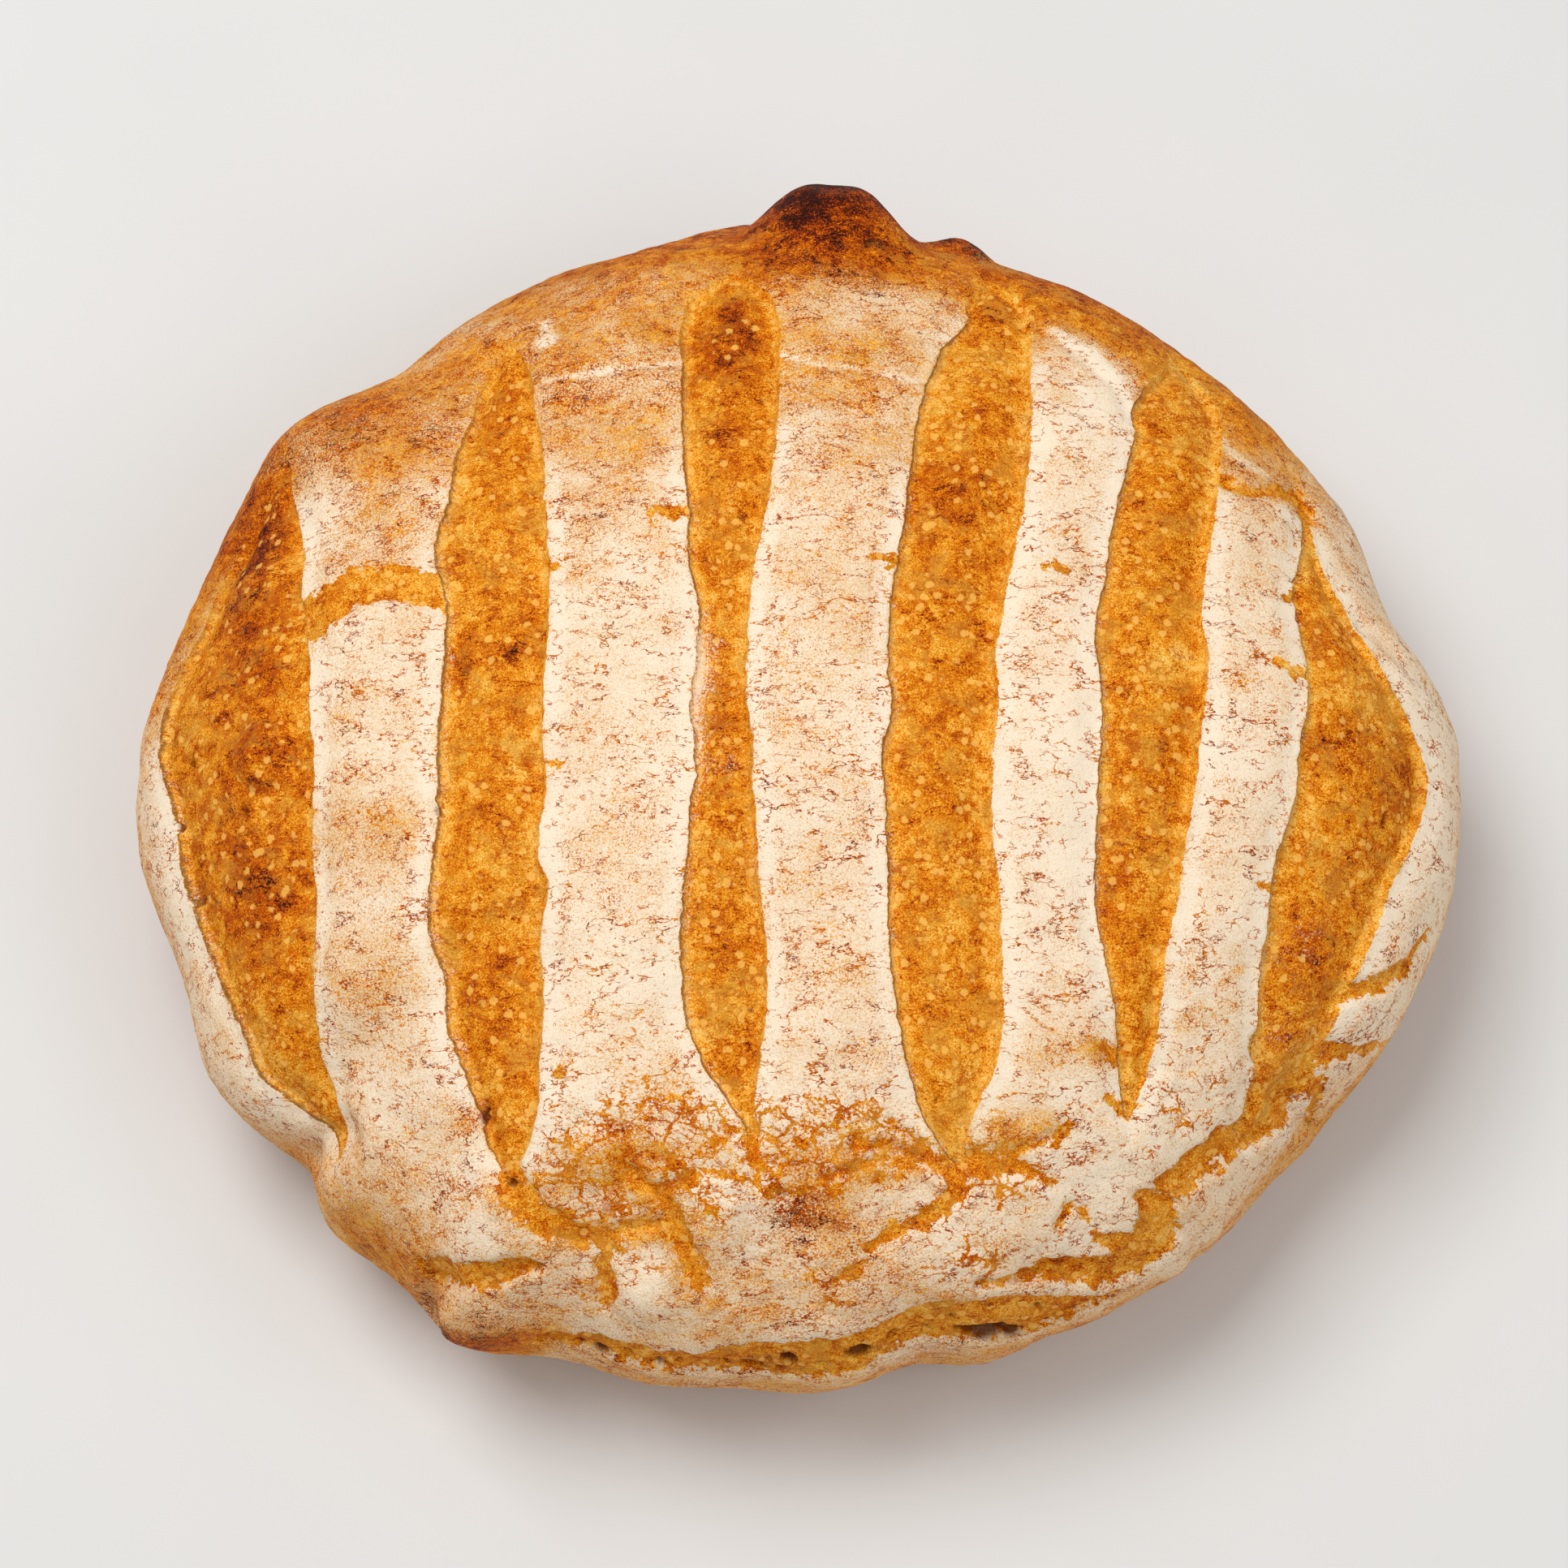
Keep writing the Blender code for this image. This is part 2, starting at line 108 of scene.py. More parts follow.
# Tears in the skin: depth, then the middle line with the half width at each point, (u, v, half width)
TEARS = (
    (0.7, ((-90, 17.5, 3.5), (-85, 20, 4.6), (-78, 24, 4.4), (-73, 24.5, 4), (-67, 23.5, 3.2),
           (-61, 22, 4.5))),
    (1.3, ((91, -60, 5), (95, -66, 6.5), (97, -73, 6.5), (92, -78.6, 3.8), (82, -80.5, 3), (74, -84, 2.6),
           (68, -86.5, 1.6))),
    (0.9, ((82, -84, 1.6), (75, -87, 1.2), (68.5, -88.5, 1))),
    (1.6, ((64, -89.5, 1.5), (68, -92.5, 4), (69, -98, 5.2), (66, -104.5, 4.2), (59, -106.8, 3.6),
           (51, -106.5, 2.6), (43, -108, 1.4), (34, -109, 0.5))),
    (0.9, ((57.5, -99.5, 1.2), (63, -100.5, 2.4), (68, -100, 2))),
    (1.5, ((-72, -101, 2.8), (-64, -99, 3.4), (-56, -98.5, 3), (-49.5, -98.5, 1.8))),
    (1.1, ((-51.5, -77, 3), (-50, -82, 2.4), (-47, -86.5, 2.4), (-45, -91.5, 2.6), (-41.5, -95.6, 1.8),
           (-36, -96.2, 1.2), (-31, -96.4, 1.2), (-27, -95, 1.2))),
    (0.7, ((-33, -80.5, 0.4), (-31.5, -84.5, 0.8), (-27.5, -88.5, 1.2), (-24.5, -93, 2), (-22.8, -99, 2.2),
           (-20.3, -106, 2), (-18.6, -111, 0.6))),
    (0.8, ((-37, -97, 1.5), (-36.8, -102, 1.3), (-37.2, -107, 2), (-37.8, -112, 1.3))),
    (0.6, ((-25.5, -88.6, 1.8), (-21.5, -87, 0.8), (-17, -86, 0.7), (-13, -87.4, 0.7),
           (-9.4, -89.8, 0.5))),
    (0.8, ((-9, -79, 1.3), (-9.6, -85, 0.7), (-8.4, -91.5, 0.5))),
    (0.7, ((9.2, -82.2, 1.5), (12.5, -84, 0.8), (18, -85.2, 0.9), (23, -86.6, 1.5), (27.5, -87.6, 2.2))),
    (0.5, ((15.5, -79.2, 0.3), (19.5, -82, 0.7), (24, -85.4, 1))),
    (0.4, ((3.5, -88, 0.4), (9.5, -87, 1), (16, -87.2, 1.2), (21, -88, 0.8))),
    (0.7, ((28.6, -85, 2), (33, -86.4, 2.6), (38, -86.2, 2.2), (43, -87.2, 0.9), (47, -88.8, 0.4))),
    (0.5, ((38, -84.4, 1), (43, -81.6, 0.7), (48.5, -77.6, 0.8))),
    (0.7, ((28, -88, 2), (28, -91.5, 1.8), (25.5, -96, 1.5), (18.5, -100, 1.9), (12, -102.8, 0.8))),
    (0.4, ((35.5, -90, 0.9), (36.4, -95, 0.5))),
    (0.5, ((5, -108, 0.6), (11, -105, 0.8))),
    (0.8, ((48, -96, 0.8), (50.3, -92.6, 1), (53.5, -93.8, 0.7))),
    (0.5, ((54, -95, 0.9), (55.5, -98, 0.4))),
    (0.5, ((51, -61.5, 0.6), (54, -62.5, 1.5), (57, -64.5, 2))),
    (0.5, ((55, -71.5, 0.8), (58, -73.5, 1.1), (62, -73, 0.5))),
    (0.5, ((-42.5, -65.5, 0.9), (-39, -62.5, 0.5))),
    (0.7, ((77, 51.5, 2), (80.5, 49, 1.2), (84.5, 48.6, 1), (90.5, 51, 1.5), (97, 53, 2.2),
           (98.6, 49, 2.4))),
    (0.4, ((88, 26, 0.4), (92, 26.6, 1), (96, 27.2, 1.4))),
    (0.4, ((80.5, 10.6, 0.4), (84, 9.8, 1.2), (88.5, 9.4, 1.6))),
    (0.4, ((-27.5, 36.8, 0.5), (-24.5, 36.5, 1.3), (-21, 36.4, 1.5))),
    (0.4, ((11.5, 27.4, 0.4), (14, 27.5, 1.1), (18, 27.8, 1.5))),
    (0.4, ((42.4, 26.9, 0.5), (45, 26.7, 1), (47.8, 26.3, 0.5))),
    (0.4, ((-45.5, 26.8, 1.1), (-41.8, 26.6, 0.5))),
    (0.4, ((-43.5, -10.8, 1), (-40.6, -10.4, 0.5))),
    (0.4, ((40, 53.6, 1), (43, 53.4, 0.5))),
    (0.4, ((84, -31, 1.2), (80, -29.6, 0.5))),
    (1.0, ((97, -50, 3.2), (101, -47.2, 2), (107, -45, 1.8), (114, -40.5, 1.9), (119.5, -32.5, 1))),
    (0.9, ((99, -61, 3), (104, -59.5, 2.2), (110, -58.5, 1.7), (118, -57, 1.2), (126, -56.5, 0.6))),
    (0.9, ((100, -66, 4), (106, -68.8, 1.8), (111, -73.8, 1.3), (114.5, -77, 0.8))),
    (0.4, ((84, 8.5, 1), (79, 12.5, 0.4))),
    (1.1, ((-54, -121, 1.5), (-46, -122.5, 3), (-38, -124.5, 3.5), (-30, -126, 3.5), (-22, -127.5, 4),
           (-12, -128.5, 6), (-4, -128, 6.5), (4, -126.5, 6), (12, -125, 5.5), (20, -123, 5),
           (28, -121, 6), (36, -120, 8), (44, -119, 7), (52, -117.5, 4.5), (58, -115.5, 2.4),
           (64, -113, 1))),
)
TEAR_LIP = 1.3

# Creases, where the dough folded over itself: depth, half width, then the points of the line
CREASES = (
    (3.0, 3.2, ((-106, -84), (-99, -80), (-86, -76))),
    (2.6, 2.8, ((-78, -115), (-73, -106), (-66, -102))),
    (1.6, 2.8, ((112, -78), (103, -75), (96, -70))),
    (1.4, 2.8, ((92, -112), (84, -104), (76, -96))),
    (1.2, 2.2, ((128, 14), (114, 18), (106, 24))),
    (0.7, 1.2, ((-100, 24), (-94, 21.5), (-88, 22.5))),
    (0.45, 1.0, ((-50, 68.8), (-40, 68.6), (-31, 70), (-23, 72))),
    (0.45, 1.0, ((-4, 72.4), (2, 69.8), (10, 70.2), (19, 68.4), (24, 69))),
    (0.5, 1.2, ((45, 87), (52, 79), (58.6, 70.4), (62, 61))),
)

# Low round bumps of the skin: u, v, radius, height (a dimple has a height below 0)
BUMPS = (
    (-30, -108.5, 6.5, 2.2), (-15, -94.5, 7, 1.4), (-35, -81, 5, 1.6), (0, -95.7, 6, -1.2),
    (33.4, 116, 6, 2.6), (-94.5, -3.6, 7.5, 1.5), (-98, 30, 9, 1.6), (42, -96, 9, 1.2),
    (63, -78, 8, 1.2), (-66, -112, 10, 1.5), (-95, -22, 8, 0.9), (-95, 15, 7, 0.9),
    (98, -14, 9, 1.0), (92, 2, 7, 0.7), (18, -108, 9, 1.0), (-12, -86.5, 6, 0.8),
)

# Blisters on the slashes, domes with a rim that has sunk: u, v, radius
BLISTERS = (
    (28.4, -31.7, 1.1), (28.7, -36.1, 2.0), (95.2, -19.9, 1.9), (-58.6, -2.8, 1.2), (17.4, -2.5, 1.3),
    (34.5, 52, 1.6), (-94, -3.8, 6.2), (-13.2, -58.2, 3.2), (-56, 15.5, 1.6), (24, 30, 1.2),
    (60, 14, 1.3), (63.5, -8, 1.1), (57, -28, 1.4), (-14, -25, 1.3), (-52.5, -45.5, 2.2),
    (-110.5, 2, 4.2), (90.5, 5, 1.5), (101, -27, 1.3), (66, 45, 1.5), (38.5, 75, 1.6),
)

# Open holes: u, v, half width, half height, depth
HOLES = (
    (38.9, -124, 4.8, 3.0, 5.0), (34, -123.2, 2.2, 1.6, 3), (44.7, -124.6, 2, 1.8, 3.4),
    (11.3, -126, 2.5, 1.6, 3.6), (-11.2, -131, 2.3, 1.6, 3.4), (-3.1, -127.8, 1.5, 1.8, 3.4),
    (-43, -126, 1.8, 1.1, 2.2), (-30.2, -128.2, 1.4, 1.2, 2.2), (48.6, -116.8, 0.9, 1, 1.6),
    (26, -124.2, 0.9, 0.9, 1.4), (-7, -128.4, 0.9, 0.9, 1.4), (-5, -131.6, 0.9, 0.9, 1.4),
    (-17, -128.8, 0.9, 0.9, 1.3), (-26, -127, 0.8, 0.9, 1.2), (3.4, -128.6, 0.9, 0.8, 1.2),
    (18.6, -124, 0.9, 0.8, 1.2), (-37, -125.4, 0.9, 0.8, 1.2), (30.5, -119.4, 0.9, 0.8, 1.2),
    (-108.9, 10.9, 0.9, 0.8, 1.4), (-114.1, -27.7, 0.9, 1.1, 1.8), (-98.8, -13.1, 0.9, 0.7, 1.4),
    (-116.5, -12.7, 0.8, 0.8, 1.4), (-112, -1.6, 1.5, 0.9, 1.4), (-112.6, 4.6, 1, 1.2, 1.2),
    (103.4, -14.1, 0.9, 1.2, 1.8), (-56.4, -71.8, 0.8, 2, 1.6), (-50.2, -81.8, 1.1, 1, 1.6),
    (-61.5, -51.5, 0.7, 1, 1.2), (-55.5, -19.5, 0.8, 0.6, 1.2),
    (-9.5, -58, 0.8, 0.9, 1.3), (24.2, -74.6, 0.7, 0.6, 1.2), (97, -68, 1, 0.7, 1.3),
    (-62.8, -18, 0.5, 1.1, 1.1), (20, -32, 0.5, 0.7, 0.9), (-101.5, -52, 0.7, 0.6, 1),
    (-98.5, -62, 0.6, 0.7, 1), (-96, -72, 0.7, 0.5, 1), (91.5, 31, 0.5, 0.8, 1),
)

# The knob on the far shoulder
KNOB_PLACE = (5.5, 112.0)
KNOB_RADIUS = 20.0      # of its foot
KNOB_TIP = 5.0          # radius of its blunt tip
KNOB_LENGTH = 9.0
KNOB_RISE = 22.0        # degrees above the horizontal

# -------- soft spots painted over the skin

# Where the flour is thin or thick, against its even coat: u, v, reach in u, reach in v, amount
FLOUR_SPOTS = (
    (-45, 96, 62, 34, -0.56), (-92, 66, 28, 22, -0.5), (6, 106, 26, 20, -1.0), (-36, 56, 18, 18, -0.3),
    (-78, 54, 12, 12, -0.2),
    (-123, 34, 12, 24, -1.0), (-113, 48, 16, 12, -1.1), (5, 124, 22, 14, -1.4), (-62, -122, 13, 8, -1.0),
    (62, 97, 26, 9, -0.9), (86, 82, 16, 10, -0.8), (-76, 0, 14, 60, -0.16), (90, 66, 22, 20, -0.35),
    (60, 92, 26, 10, -0.35), (-60, 48, 12, 10, -0.1),
    (12, 56, 18, 20, -0.26), (6, 72, 20, 10, -0.1), (12, 88, 18, 8, 0.45), (50, 88, 20, 16, -0.3),
    (85, 75, 25, 20, -0.55), (-88, 44, 9, 11, 0.5), (-75, 34, 14, 9, -0.2), (55, 70, 8, 18, 0.35),
    (53, 45, 12, 22, 0.05), (-80, -20, 10, 22, -0.12), (-76, -48, 9, 9, -0.2), (-74, 2, 12, 16, 0.25),
    (-30, 8, 16, 20, 0.1), (44, -18, 12, 30, 0.3), (-10, -95, 26, 12, -0.05), (0, -96, 8, 6, -0.28),
    (-96, -98, 24, 18, -0.4), (-90, -110, 30, 16, -0.35), (-30, -88, 22, 10, -0.04), (118, -12, 10, 40, 0.2),
    (60, -84, 18, 12, 0.15), (-40, -60, 18, 14, 0.1), (18, -110, 10, 6, -0.1),
    (-61, -74, 5, 5, -0.35), (-34, -84, 5, 4, -0.3), (-22, -82, 12, 2, -0.3), (2, -84, 6, 4, -0.25),
    (12, -90, 7, 3, -0.3), (35, -80, 7, 3, -0.2), (-42, -84, 5, 3, -0.2), (-16, -88, 8, 6, 0.2),
    (-30, -106, 6, 6, 0.35), (44, -79, 5, 4, -0.15), (2, -94, 7, 5, -0.15), (46, -64, 8, 3, -0.15),
    (0, -114, 70, 12, -0.18), (-76, -104, 16, 12, -0.15),
    (88, 10, 10, 30, -0.02), (80, -10, 8, 30, 0.05), (10, 15, 18, 14, -0.1),
)
FLOUR_COAT = 0.96

# Lines where the flour is thick, or rubbed thin: amount, then the points as (u, v, half width)
FLOUR_LINES = (
    (-0.5, ((-31, -80, 4), (-29, -86, 4.5), (-26, -92, 5), (-23, -99, 5.5), (-20, -106, 5), (-18, -111, 3))),
    (-0.35, ((-53, -78, 3), (-50, -85, 4), (-46, -91, 4.6), (-40, -95.5, 4), (-32, -96, 3.4))),
    (-0.12, ((-40, -80, 4), (-37, -86, 4), (-31, -90, 4))),
    (-0.12, ((-24, -82, 2.4), (-14, -83, 2.6), (-6, -84, 3.4), (0, -84, 2))),
    (-0.3, ((7, -83, 2), (14, -86.5, 3.4), (22, -88, 3.6), (28, -88, 3))),
    (-0.3, ((29, -82, 2.6), (36, -83, 4), (41, -80, 3.4), (48, -76, 2.4))),
    (-0.15, ((33, -88, 3), (34, -94, 3))),
    (-0.25, ((-1, -91, 2.4), (1, -97, 3.6), (9, -99, 3))),
    (-0.4, ((50, -62, 1.6), (56, -65, 2.4))),
    (-0.35, ((70, -58, 1), (76, -52, 1.2), (80, -46, 1))),
    (0.6, ((-49, 68.8, 0.4), (-41, 68.6, 0.6), (-31, 70, 0.4), (-23, 72, 0.3))),
    (0.5, ((-4, 72.4, 0.4), (2, 69.8, 0.5), (10, 70.2, 0.4), (19, 68.4, 0.5), (24, 69, 0.3))),
    (0.8, ((48.5, 85, 1), (55, 79.4, 1.6), (60, 68.6, 1.6), (61.8, 62, 1))),
    (0.5, ((50.7, 69.2, 0.8), (57.2, 59, 0.8))),
    (0.6, ((79.5, 62, 1.2), (83.2, 55.6, 1.4), (88.2, 54, 1.2))),
    (0.5, ((89.4, 46.4, 1.6), (94.6, 45.5, 1.4))),
    (-0.35, ((54, 90, 2), (66, 78, 2.4), (76, 70, 2.2))),
    (0.9, ((-49.5, 85, 0.4), (-49, 82, 1.6), (-48.6, 79.4, 2.4))),
)

# Where the skin has cracked into islands of flour: u, v, reach in u, reach in v, opening
CRACKED_SPOTS = (
    (-30, -78, 24, 12, 0.95), (-10, -86, 22, 11, 0.75), (-38, -98, 14, 14, 0.7), (14, -86, 18, 8, 0.7),
    (36, -86, 16, 8, 0.75), (-62, -88, 14, 12, 0.25), (38, -103, 18, 10, 0.6), (2, -106, 20, 8, 0.6),
    (64, -74, 14, 8, 0.45), (78, -74, 12, 12, 0.5), (-76, -44, 7, 10, 0.5), (-68, -78, 10, 10, 0.2),
    (110, -52, 12, 16, 0.4), (96, 30, 8, 20, 0.3), (-60, -112, 24, 10, 0.3), (8, -74, 14, 7, 0.45),
    (30, -118, 26, 8, 0.4), (-20, -118, 24, 8, 0.35),
)
CRACK_REST = -0.75      # below -0.5 the cracks between the islands stay shut
CRACK_MOST = 1.0

# Where flour dust lies on the bare crumb: u, v, reach in u, reach in v, amount
DUST_SPOTS = (
    (-17, 3, 3, 9, 0.22), (-8.5, -32, 3, 12, 0.12), (-13.5, -11, 5, 5, 0.12), (90, -40, 7, 7, 0.12),
    (-13, 12, 4, 8, 0.08), (50, -40, 3, 10, 0.08), (30, -68, 5, 8, 0.08), (-60, -50, 5, 12, 0.06),
    (96, -60, 10, 10, 0.1), (68, -98, 6, 10, 0.08), (-30, -90, 14, 12, 0.06), (24, -90, 14, 8, 0.07),
)

# Browner and paler baking: u, v, reach in u, reach in v, amount
BROWN_SPOTS = (
    (5, 101, 15, 12, 0.75), (5, 118, 16, 12, 0.85), (34, 116, 6, 4, 0.5), (-101, 38, 8, 15, 0.6),
    (-100, -10, 14, 50, 0.12), (-112, 52, 14, 12, 0.4),
    (-14, 76, 6, 11, 0.62), (-14, 52, 4, 5, 0.5), (-94, -4, 7, 7, 0.35), (-96, 16, 10, 9, 0.3),
    (-96, -26, 9, 12, 0.35), (26, 43, 7, 9, 0.4), (28, 10, 6, 20, 0.15), (68, 28, 5, 12, 0.25),
    (92, -40, 7, 6, 0.4), (-53, -46, 6, 8, 0.25), (-57, -74, 4, 4, 0.4), (-75, 62, 30, 20, 0.1),
    (-90, 60, 16, 12, 0.35), (-70, -117, 14, 8, 0.9), (0, -96, 7, 5, 0.6), (-48, 78, 25, 12, 0.05),
    (-47, 12, 4, 5, 0.3), (-58, 9, 3, 4, 0.4), (-13, -11, 4, 6, 0.25), (36, 88, 6, 5, 0.3),
    (98, -4, 8, 8, 0.25), (-15, 0, 5, 8, 0.2), (60, 88, 22, 12, 0.1), (-31, 68, 22, 10, 0.1),
    (20, 48, 12, 8, 0.08), (60, -42, 5, 9, 0.15), (-13, -38, 4, 14, 0.12), (-102, -30, 5, 8, 0.25),
    (-58, 40, 5, 10, -0.2), (26, 70, 7, 10, -0.2), (24, -66, 7, 10, -0.12), (70, 62, 6, 7, -0.15),
    (62, -60, 4, 9, -0.1), (-96, -60, 8, 12, -0.1),
)

# -------- the fine mesh

TOP_RINGS = 130         # rings of the round lattice over the top
TOP_REACH = 112.0       # how far over the skin they go
WALL_REACH = 146.0      # fine rings go on down to here, coarser ones below
WALL_RINGS = 37
FOOT_RINGS = 17
BASE_RINGS = (0.985, 0.95, 0.86, 0.65)  # shares of the base's radius
FADE_HEIGHT = 9.0       # relief dies out this far above the base


# ======== noise

def lattice_number(x, y, seed):
    """A fixed number from 0 to 1 for each point of a lattice."""
    n = (x * 374761393 + y * 668265263 + seed * 974634777) & 0xFFFFFFFF
    n = ((n ^ (n >> 13)) * 1274126177) & 0xFFFFFFFF
    return (n ^ (n >> 16)) / 4294967296.0


def ease(t):
    """A smooth step from 0 to 1."""
    t = np.clip(t, 0, 1)
    return t * t * (3 - 2 * t)


def noise(u, v, size, seed):
    """Smooth noise from about -1 to 1, with features of the given size."""
    x = u / size
    y = v / size
    left = np.floor(x).astype(np.int64)
    low = np.floor(y).astype(np.int64)
    fx = x - left
    fy = y - low

    def corner(dx, dy):
        turn = 2 * math.pi * lattice_number(left + dx, low + dy, seed)
        return np.cos(turn) * (fx - dx) + np.sin(turn) * (fy - dy)

    across = ease(fx)
    bottom = corner(0, 0) * (1 - across) + corner(1, 0) * across
    top = corner(0, 1) * (1 - across) + corner(1, 1) * across
    up = ease(fy)
    return 1.5 * (bottom * (1 - up) + top * up)


def cells(u, v, size, seed, scatter=0.9):
    """Scattered cells: distance to the nearest middle and nearest edge, and a number for each."""
    x = u / size
    y = v / size
    left = np.floor(x).astype(np.int64)
    low = np.floor(y).astype(np.int64)
    first = np.full(np.shape(u), 9.0)
    second = np.full(np.shape(u), 9.0)
    own = np.zeros(np.shape(u))
    for dx in (-1, 0, 1):
        for dy in (-1, 0, 1):
            cx = left + dx + 0.5 + scatter * (lattice_number(left + dx, low + dy, seed) - 0.5)
            cy = low + dy + 0.5 + scatter * (lattice_number(left + dx, low + dy, seed + 7) - 0.5)
            away = np.hypot(x - cx, y - cy)
            nearer = away < first
            second = np.where(nearer, first, np.minimum(second, away))
            own = np.where(nearer, lattice_number(left + dx, low + dy, seed + 13), own)
            first = np.minimum(first, away)
    return first * size, (second - first) * size / 2, own


# ======== the form

def bump(distance, reach):
    """1 at a distance of 0, falling smoothly to 0 at the reach."""
    return ease(1 - np.abs(distance) / reach)


def outline(bearing, bulging):
    """Radius of the widest outline at each bearing, with the given share of its bulges."""
    radius = 1 / np.hypot(np.cos(bearing) / HALF_LENGTH, np.sin(bearing) / HALF_WIDTH)
    right = np.cos(bearing) > 0
    radius = radius * (1 - RIGHT_TAPER * np.sin(2 * bearing) ** 2 * right)
    degrees = np.degrees(bearing)
    for place, spread, size in BULGES:
        away = (degrees - place + 180) % 360 - 180
        radius = radius + bulging * size * np.exp(-(away / spread) ** 2)
    return radius


def profile():
    """The section from crown to base edge: share of the outline's radius, height, inset and run."""
    dome = np.linspace(0, math.pi / 2, PROFILE_STEPS)
    foot = np.linspace(0, math.pi / 2, PROFILE_STEPS // 2)[1:]
    dome_height = BELLY_HEIGHT + (HEIGHT - BELLY_HEIGHT) * np.cos(dome) ** (2 / DOME_POWER)
    share = np.concatenate([np.sin(dome) ** (2 / DOME_POWER), np.ones_like(foot)])
    height = np.concatenate([dome_height, BELLY_HEIGHT * (1 - np.sin(foot))])
    inset = np.concatenate([np.zeros_like(dome), TUCK * (1 - np.cos(foot))])
    steps = np.hypot(np.diff(share * MEAN_RADIUS - inset), np.diff(height))
    run = np.concatenate([[0.0], np.cumsum(steps)])
    return share, height, inset, run


SHARE, PROFILE_HEIGHT, INSET, RUN = profile()
SPAN = RUN[-1]          # over the skin, from the crown to the edge of the base


def smooth_row(place, places, values):
    """A smooth curve through the rows of a slash, read at each place."""
    order = np.argsort(places)
    x = np.asarray(places, float)[order]
    y = np.asarray(values, float)[order]
    slope = np.gradient(y, x)
    k = np.clip(np.searchsorted(x, place) - 1, 0, len(x) - 2)
    width = x[k + 1] - x[k]
    t = np.clip((place - x[k]) / width, 0, 1)
    start = y[k] + slope[k] * width * t * (1 - t)
    end = y[k + 1] - slope[k + 1] * width * t * (1 - t)
    return start * (1 - ease(t)) + end * ease(t)


def slash_edges(number, v):
    """The ragged left and right edges of a slash at each v, and how far v lies past its ends."""
    along, left, right = zip(*SLASHES[number])
    edges = []
    for side, row in enumerate((left, right)):
        seed = 100 + 10 * number + side
        still = np.zeros(np.shape(v))
        ragged = 0.2 * noise(still, v, 7.5, seed) + 0.22 * noise(still, v, 2.9, seed + 3)
        ragged = ragged + 0.22 * noise(still, v, 1.4, seed + 5)
        edges.append(smooth_row(v, along, row) + ragged)
    past = np.maximum(v - max(along), 0) + np.maximum(min(along) - v, 0)
    return edges[0], edges[1], past


def into_slash(u, v):
    """How far a place lies inside the nearest slash, its share of the way in, and its side."""
    depth = np.full(np.shape(u), -99.0)
    share = np.zeros(np.shape(u))
    on_left = np.zeros(np.shape(u))
    for number in range(len(SLASHES)):
        left, right, past = slash_edges(number, v)
        half = np.maximum((right - left) / 2, 0.2)
        inside = half - np.abs(u - (left + right) / 2) - past
        share = np.where(inside > depth, np.clip(inside / half, 0, 1), share)
        on_left = np.where(inside > depth, u < (left + right) / 2, on_left)
        depth = np.maximum(depth, inside)
    return depth, share, on_left


def gather(u, v):
    """Draws the lattice together along the edges of the slashes, so that their lips are sharp."""
    for number in range(len(SLASHES)):
        left, right, past = slash_edges(number, v)
        reach = np.clip((right - left) * 0.45, 0.5, GATHER_REACH)
        strength = np.clip(1 - past / 2, 0, 1)
        for edge in (left, right):
            away = u - edge
            near = np.clip(np.abs(away) / reach, 0, 1)
            u = u - strength * np.sign(away) * (near - near ** GATHER_POWER) * reach
    return u


def from_line(u, v, points):
    """Distance to a line of points, and how far along the nearest stretch of it, as an index."""
    best = np.full(np.shape(u), 1e9)
    index = np.zeros(np.shape(u))
    for i in range(len(points) - 1):
        a = np.array(points[i][:2], float)
        b = np.array(points[i + 1][:2], float)
        length = np.hypot(*(b - a))
        t = np.clip(((u - a[0]) * (b - a)[0] + (v - a[1]) * (b - a)[1]) / length ** 2, 0, 1)
        distance = np.hypot(u - a[0] - t * (b - a)[0], v - a[1] - t * (b - a)[1])
        index = np.where(distance < best, i + t, index)
        best = np.minimum(best, distance)
    return best, index


def spots(u, v, table):
    """The sum of soft round spots at each place."""
    total = np.zeros(np.shape(u))
    for place_u, place_v, reach_u, reach_v, amount in table:
        away = ((u - place_u) / reach_u) ** 2 + ((v - place_v) / reach_v) ** 2
        total += amount * np.exp(-away)
    return total


